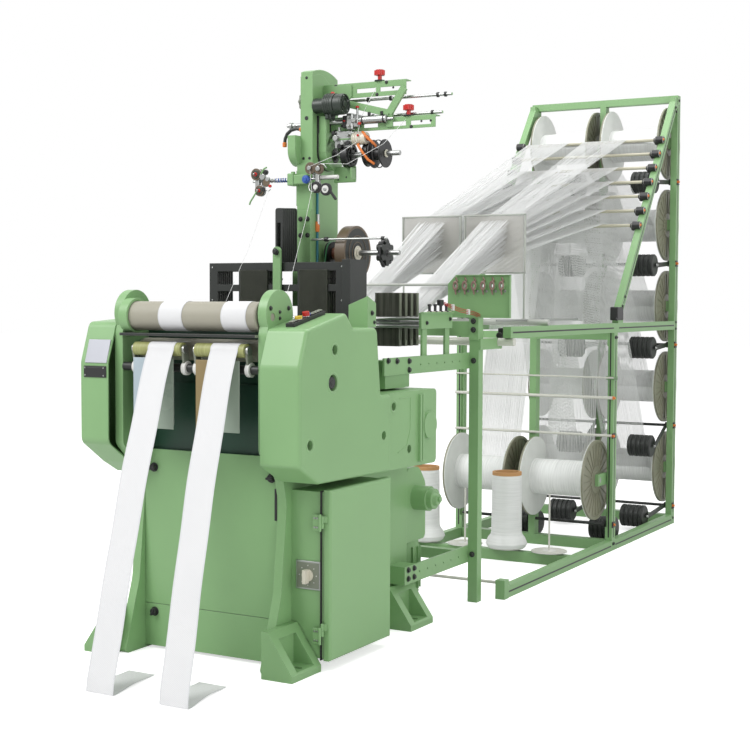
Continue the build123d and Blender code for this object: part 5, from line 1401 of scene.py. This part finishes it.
ceramic = coated("brown_ceramic", (0.27, 0.17, 0.14), (0.6, 0.5, 0.46), 0.2, edge=0.7, clouding=0.3)
eyes = []
screws = []
for n in range(6):
    x = 232 + 37 * n
    eyes.append(torus(x, 1275.6, 1176, FACING_FRONT, 9.8, 4, 28, 10, (0.8, 1.35, 1.0)))
    eyes.append(peg(x - 5, 1284, 1161, (0.35, -0.3, -1), 20, 4.2, 12, 0.8, 2.6))
    eyes.append(peg(x + 5, 1284, 1191, (-0.35, -0.3, 1), 18, 4.2, 12, 0.8, 2.6))
    screws.append(facing(x + 10, 1287, 1156, FRONT, 0.3, 0.5))
settle(eyes, "ceramic_eyes", ceramic)
settle(set_out(hex_bolt(), screws), "eye_screws", bright_steel)
rim = [
    block(196, 450, 1283.6, 1287, 1058, 1062, 0.8),
    block(446.5, 450, 1279, 1287, 1058, 1216, 0.8),
    block(232, 450, 1279, 1287, 1212.5, 1216, 0.8),
]
settle(rim, "eyelet_panel_fold", green)
red_lead = coated("red_lead", (0.45, 0.02, 0.02), (0.6, 0.1, 0.1), 0.4, clouding=0.1)
leads = []
for n in range(3):
    drop = 6 * n
    leads.append(
        [
            (284, 1058, 1118 - 3 * n),
            (296, 1120, 1104 - drop),
            (300, 1180, 1092 - drop),
            (302, 1240, 1086 - drop),
            (306, 1284, 1080 - drop),
            (330, 1286, 1070 - drop),
        ]
    )
tubes("contact_leads", leads, 1.3, red_lead, 1)
clips = [block(292, 304, 1116, 1124, 1085, 1108, 1.5), block(296, 309, 1236, 1244, 1070, 1090, 1.5)]
settle(clips, "lead_clips", white_nylon)

# Lease reeds: two thin pale frames of fine upright wires, on legs from a cross tube, that
# keep the yarns of each ribbon in order.

pale_grey = coated("pale_grey_paint", (0.42, 0.44, 0.40), (0.6, 0.61, 0.58), 0.4, clouding=0.1)
reed_wires = []
reed_frames = []
for x0, x1 in ((-272, 0), (14, 286)):
    reed_frames += [
        block(x0, x1, 1801, 1811, 1230, 1236, 0.8),
        block(x0, x1, 1801, 1811, 1464, 1470, 0.8),
        block(x0, x0 + 6, 1801, 1811, 1232, 1468, 0.8),
        block(x1 - 6, x1, 1801, 1811, 1232, 1468, 0.8),
        block(x0 + 3, x0 + 9, 1803, 1809, 1030, 1232, 0.8),
        block(x1 - 9, x1 - 3, 1803, 1809, 1030, 1232, 0.8),
        block(x0 - 2, x0 + 14, 1798, 1814, 1030, 1050, 1.5),
        block(x1 - 14, x1 + 2, 1798, 1814, 1030, 1050, 1.5),
    ]
    wire = block(x0 + 9, x0 + 9.9, 1805, 1807, 1235, 1465, 0)
    reed_wires.append(row(wire, 104, ((x1 - x0 - 18) / 104, 0, 0)))
reed_frames.append(peg(-389, 1806, 1035.5, RIGHT, 778, 12, 24, 0.8))
frames = settle(reed_frames, "lease_frames", pale_grey)
reed_cream = coated("reed_cream", (0.66, 0.645, 0.60), (0.8, 0.79, 0.76), 0.5, clouding=0.05)
settle(reed_wires, "lease_wires", reed_cream)
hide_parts("lease_reeds")

# Measuring rail, tube clamp and cross rod: a bright graduated strip on the link bar, a black
# clamp at its front end, and a pale rod across the frame behind the panel of eyes.

measuring = join(
    [block(296, 300, 1500, 2360, 1040, 1049, 0.8), block(300, 301.2, 1500, 2360, 1041, 1048, 0.2)]
)
settle(measuring, "measuring_rail", bright_steel)
clamps = [block(318, 334, 1470, 1500, 960, 1018, 2), peg(326, 1470, 990, FRONT, 9, 12, 20, 1.5)]
settle(clamps, "tube_clamp", black_plastic)
cross_rod = [peg(-396, 1297, 1180, RIGHT, 594, 5, 20, 0.8), block(-403, -391, 1291, 1303, 1040, 1188, 1.5)]
settle(cross_rod, "cross_rod", pale_grey)

# Creel bars: seven beige guide bars across the creel, with black rubber knobs inside the
# slanted arms, orange clips outside the right arm and black brackets at the arms' feet.

cream_paint = coated("cream_paint", (0.62, 0.62, 0.56), (0.8, 0.8, 0.76), 0.35, clouding=0.08)
dress(cream_paint, "guide_rods")
beam_pitch = 406.0
arm_run, arm_rise = 788.0, 1032.0
guide_places = []
for n in range(7):
    bar_z = 1905.0 - 71.5 * n
    guide_places.append((2664.0 + (bar_z - 1073.0) / arm_rise * arm_run - 38.0, bar_z))
bar_beige = coated("bar_beige", (0.50, 0.48, 0.37), (0.7, 0.68, 0.6), 0.4, clouding=0.15)
knobs = []
clips = []
bars = []
for y, z in guide_places:
    for side in (-1, 1):
        knobs.append(peg(side * 343.6, y, z, (side, 0, 0), 42.4, 18.0, 28, 3.5))
        knobs.append(peg(side * 336, y, z - 2, (side, 0, 0), 9, 12, 20, 2))
        knobs.append(peg(side * 352, y - 3, z - 10, (-0.35 * side, -0.2, -1), 15, 14, 20, 2, 6))
    clips.append(block(386.4, 391, y - 20, y - 8, z - 5, z + 6, 1))
    bars.append(peg(-336, y, z, RIGHT, 672, 7.4, 20, 0))
settle(knobs, "guide_bar_knobs", black_plastic)
settle(clips, "guide_bar_clips", orange_rubber)
settle(bars, "guide_bar_tubes", bar_beige)
feet = [block(side * 373 - 18.5, side * 373 + 18.5, 2612, 2690, 1036, 1096, 3) for side in (-1, 1)]
settle(feet, "arm_foot_brackets", black_plastic)

# Profile slots: the creel's posts, beams and arms are drawn aluminium profiles, painted
# green, with a slot down the middle of each face, drawn as a thin black strip of painted
# shade, and black bolts at the joints.

# The slots are thin black strips: painted shade.
slots = []
for x in (373, -373):
    slots.append(block(x - 3, x + 3, 2576.4, 2578, 60, 1010, 0))
    slots.append(block(x - 3, x + 3, 3509, 3510.6, 60, 2100, 0))
for x, out in ((389, 1), (-389, -1)):
    low_x, high_x = sorted((x - out, x + 0.6 * out))
    slots.append(block(low_x, high_x, 2596.5, 2602.5, 60, 970, 0))
    slots.append(block(low_x, high_x, 3484.5, 3490.5, 60, 2100, 0))
    slots.append(block(low_x, high_x, 1420, 2570, 20, 26, 0))
    slots.append(block(low_x, high_x, 2630, 3460, 20, 26, 0))
    slots.append(block(low_x, high_x, 1450, 2570, 999, 1005, 0))
    slots.append(block(low_x, high_x, 2640, 3460, 999, 1005, 0))
    arm_slot = block(low_x, high_x, -3, 3, 0, 1218, 0)
    lean = Matrix.Translation(at(0, 2695, 1112)) @ Matrix.Rotation(-math.atan2(arm_run, arm_rise), 4, "X")
    arm_slot.data.transform(Matrix.Translation(-at(0, 0, 0)))
    arm_slot.data.transform(lean)
    slots.append(arm_slot)
settle(slots, "profile_slot_shade", black_plastic)
joints_of_creel = []
for side in (1, -1):
    x = 389 * side
    for y, z in (
        (2590, 960),
        (2608, 960),
        (2600, 1040),
        (2680, 1100),
        (2712, 1142),
        (3430, 2080),
        (3440, 2060),
    ):
        joints_of_creel.append(facing(x, y, z, (side, 0, 0), 0.2 * y, 0.7))
    for y, z in ((2594, 30), (2606, 30), (3487, 30), (3487, 985), (3487, 1018), (3487, 2120)):
        joints_of_creel.append(facing(x, y, z, (side, 0, 0), 0.3 * z, 0.7))
settle(set_out(hex_bolt(), joints_of_creel), "creel_bolts", black_steel)

# Rod ends: orange caps and black grips on the creel's right side, where the brake levers'
# rods end in the back post, with a few more on the middle post and its green string.

rod_rows = [93 + beam_pitch * n for n in range(5)]
caps = []
for z in rod_rows:
    caps.append((389, 3477, z))
caps += [(389, 2589, 118), (389, 2566, 520), (389, 2569, 690)]
cap = home(peg(0, 0, 0, UP, 3, 9, 18, 0.8), peg(0, 0, 3, UP, 9, 6, 18, 1.6))
settle(set_out(cap, [facing(x, y, z, RIGHT) for x, y, z in caps]), "orange_rod_caps", orange_rubber)
grips = []
for z in rod_rows:
    grips.append(block(389.2, 396, 3462, 3492, z - 15, z - 7, 1.2))
    grips.append(block(389.2, 394, 3462, 3492, z + 7, z + 15, 1.2))
grips.append(block(389.2, 394, 2560, 2600, 508, 532, 1.5))
grips.append(block(389.2, 394, 2574, 2604, 104, 132, 1.5))
settle(grips, "rod_grips", black_plastic)
ties = []
for n in range(4):
    z = 768 + 4.5 * n
    ties.append(
        [
            (391, 2575, z),
            (391, 2624, z + 2),
            (355.4, 2624, z + 3),
            (355.4, 2575, z + 4),
            (391, 2575, z + 4.5),
        ],
    )
tubes("post_string", ties, 1.6, green, 0)

# Warp beams: flanged plastic bobbins full of white yarn. The barrel is wound in fine turns;
# the flanges are pale inside and olive brown outside, with moulded radial ribs.


def bobbin_finish(name, mid):
    """Yarn between the flanges, pale plastic on their inner faces, brown on the outer."""
    finish, tree, shader = plain_finish(name, (0.7, 0.7, 0.7))
    place = add_node(tree, "TexCoord").outputs["Object"]
    split = add_node(tree, "SeparateXYZ", {0: place}).outputs
    reach = maths(tree, "ABSOLUTE", maths(tree, "SUBTRACT", split["X"], at(mid, 0, 0).x))
    masks = [maths(tree, "GREATER_THAN", reach, limit) for limit in (0.1402, 0.1440, 0.1545)]
    stretch = add_node(tree, "Mapping", {"Vector": place, "Scale": (420, 9, 9)})
    turns = add_node(tree, "TexNoise", {"Vector": stretch, "Scale": 1.0, "Detail": 4.0})
    even = add_node(tree, "MapRange", {"Value": turns, "From Min": 0.3, "From Max": 0.62})
    haze = add_node(tree, "TexNoise", {"Vector": place, "Scale": 14.0, "Detail": 5.0})
    colour = two_tone(tree, even, (0.70, 0.71, 0.70), (0.90, 0.91, 0.90))
    for mask, dark, pale in (
        (masks[0], (0.60, 0.62, 0.59), (0.76, 0.78, 0.75)),
        (masks[1], (0.15, 0.15, 0.10), (0.30, 0.30, 0.22)),
        (masks[2], (0.30, 0.31, 0.30), (0.50, 0.51, 0.50)),
    ):
        layers = {"Factor": mask, "A": colour, "B": two_tone(tree, haze, dark, pale)}
        colour = add_node(tree, "Mix", layers, data_type="RGBA")
    rough = add_node(tree, "MapRange", {"Value": masks[0], "To Min": 0.7, "To Max": 0.42})
    relief = add_node(tree, "Bump", {"Strength": 0.35, "Distance": 0.0012, "Height": turns})
    feed(tree, shader, {"Base Color": colour, "Roughness": rough, "Normal": relief})
    return finish


flange_brown = coated("flange_brown", (0.20, 0.20, 0.14), (0.36, 0.36, 0.28), 0.42, clouding=0.3)
beam_places = {}
bay_middle = 186.5
top_beam_z, front_beam_z = 1910.0, 326.0
for side, mid in (("left", -bay_middle), ("right", bay_middle)):
    names = [f"warp_beam_{side}_{n}" for n in range(1, 6)]
    dress(bobbin_finish(f"bobbin_{side}", mid), *names, f"warp_beam_{side}_front")
    for n, name in enumerate(names):
        beam_places[name] = (mid, 3500.0, top_beam_z - beam_pitch * n)
    beam_places[f"warp_beam_{side}_front"] = (mid, 2510.0, front_beam_z)
rib = home(block(146, 150.4, -2.2, 2.2, 50, 160, 0))
ribs = set_out(rib, [Matrix.Rotation(math.tau * n / 24, 4, "X") for n in range(24)])
rings = join(
    [
        ribs,
        home(peg(146, 0, 0, RIGHT, 5.4, 60, 36, 1.0)),
        home(peg(151, 0, 0, RIGHT, 2.6, 34, 28, 0.8)),
    ]
)
both_ends = set_out(rings, [Matrix.Identity(4), Matrix.Rotation(math.pi, 4, "Z")])
for name, (x, y, z) in beam_places.items():
    copy = both_ends.copy()
    copy.data = both_ends.data.copy()
    bpy.context.collection.objects.link(copy)
    copy.data.transform(Matrix.Translation(at(x, y, z)))
    settle(copy, f"{name}_ribs", flange_brown, name)
bpy.data.objects.remove(both_ends)

# Warp: white yarns that rise from each beam to its guide bar, fall to a lease reed and run
# on to the drop wires. They are spread like a fan, and each is a yarn of its own.

random.seed(7)
ends_per_beam = 84
yarn_r = 0.8
runs = []
for side, lease_x, head_x in ((-1, -136.0, left_head), (1, 150.0, right_head)):
    beam_x = side * bay_middle - 10.0
    bar_x = -65.0 + side * 150.0
    starts = [(3418.0, top_beam_z - beam_pitch * n, bar) for n, bar in enumerate((0, 2, 3, 4, 5))]
    starts.append((2592.0, front_beam_z, 6))
    for level, (start_y, start_z, bar) in enumerate(starts):
        bar_y, bar_z = guide_places[bar]
        for n in range(ends_per_beam):
            share = (n + 0.5) / ends_per_beam - 0.5
            wander = random.uniform(-0.004, 0.004)
            x0 = beam_x + 232 * (share + wander)
            x1 = bar_x + 228 * (share + 0.5 * wander)
            x2 = lease_x + (126 - 6 * level) * (share + wander)
            x3 = head_x + 33 + 88 * (share + wander)
            lease_z = 1440 - 28 * level + random.uniform(-9, 9)
            back = bar_y + 8.0
            over = bar_z + 8.4
            path = [
                (x0, start_y, start_z),
                (x1, back, bar_z + 1),
                (x1, back - 2.5, over - 2.3),
                (x1, bar_y, over),
            ]
            path += [
                (x2, 1812.5, lease_z),
                (x2, 1799.5, lease_z - 2),
                (x3, 1127, 1066 + random.uniform(-3, 9)),
            ]
            runs.append(path)
warp = tubes("warp_yarns", runs, yarn_r, warp_white)
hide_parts("warp_yarn")

# Brake weights: a bright hexagon nut at the right end of ten of the twelve stacks of black
# discs that load the beams' brake levers.

nuts = []
for z, y in ((1705, 3300), (1299, 3300), (893, 3300), (407, 3300), (70, 3203)):
    for x in (339, -34):
        nuts.append(facing(x + 8, y, z, RIGHT, 0.2, 0.9))
settle(set_out(hex_bolt(), nuts), "weight_nuts", bright_steel)

# Yarn cones: white yarn packages in clinging film on cardboard tubes, standing on pins with
# white moulded discs.

cardboard = coated("cardboard", (0.50, 0.27, 0.11), (0.7, 0.5, 0.3), 0.75, clouding=0.25, peel=400)
film = wound("film_wrapped_yarn", (0.66, 0.68, 0.66), (0.82, 0.83, 0.82), 0.004, "Z", 0.35, 0.25)
dress(film, "yarn_cones")
settle([hoop(x, 2140, 371, UP, 14.6, 63.2, 12) for x in (-329, 67)], "cone_tubes", cardboard)
discs = []
for n in range(4):
    x = -329 + 198 * n
    discs.append(hoop(x, 2140, 55, UP, 3, 77, 3, 40))
    discs.append(peg(x, 2140, 55, UP, 5.6, 30, 30, 1.5))
settle(discs, "cone_discs", white_nylon)

# Warp inside the loom: the white ends come from the drop wires through the healds' eyes to
# the reed. Each frame's ends are meshes of their own, which don't ride on the frame; every
# run turns over at the harness.

for letter, first in (("a", 0), ("b", 1)):
    back_runs = []
    front_runs = []
    for head_x in heads:
        for n in range(first, 44, 2):
            share = n / 43 - 0.5
            middle = frame_y(n % 8)
            eye = (head_x + 92 * share, middle, 1050)
            start_x = head_x + 33 + 88 * share
            back_runs.append([(start_x, 1127, 1064), (start_x, 984, 1062), eye])
            front_runs.append([eye, (head_x + 90 * share, 304, 1041.5)])
    body = f"harness_frames_{letter}"
    rear = tubes(f"shed_rear_{letter}", back_runs, 0.6, warp_white, 0, None)
    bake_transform(rear)
    ahead = tubes(f"shed_front_{letter}", front_runs, 0.6, warp_white, 0, None)
    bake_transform(ahead)

# Drive motor: its flange stands on the drive housing, held by four blackened hexagon bolts.
# The thread tensioners' rod and arms are bright steel.

motor_bits = [
    facing(157 + 58 * math.cos(a), 1010 + 58 * math.sin(a), 533, UP, a)
    for a in (0.6, 2.2, 3.7, 5.3)
]
settle(set_out(hex_bolt(), motor_bits), "drive_motor_bolts", black_steel)

dress(bright_steel, "thread_tensioners")
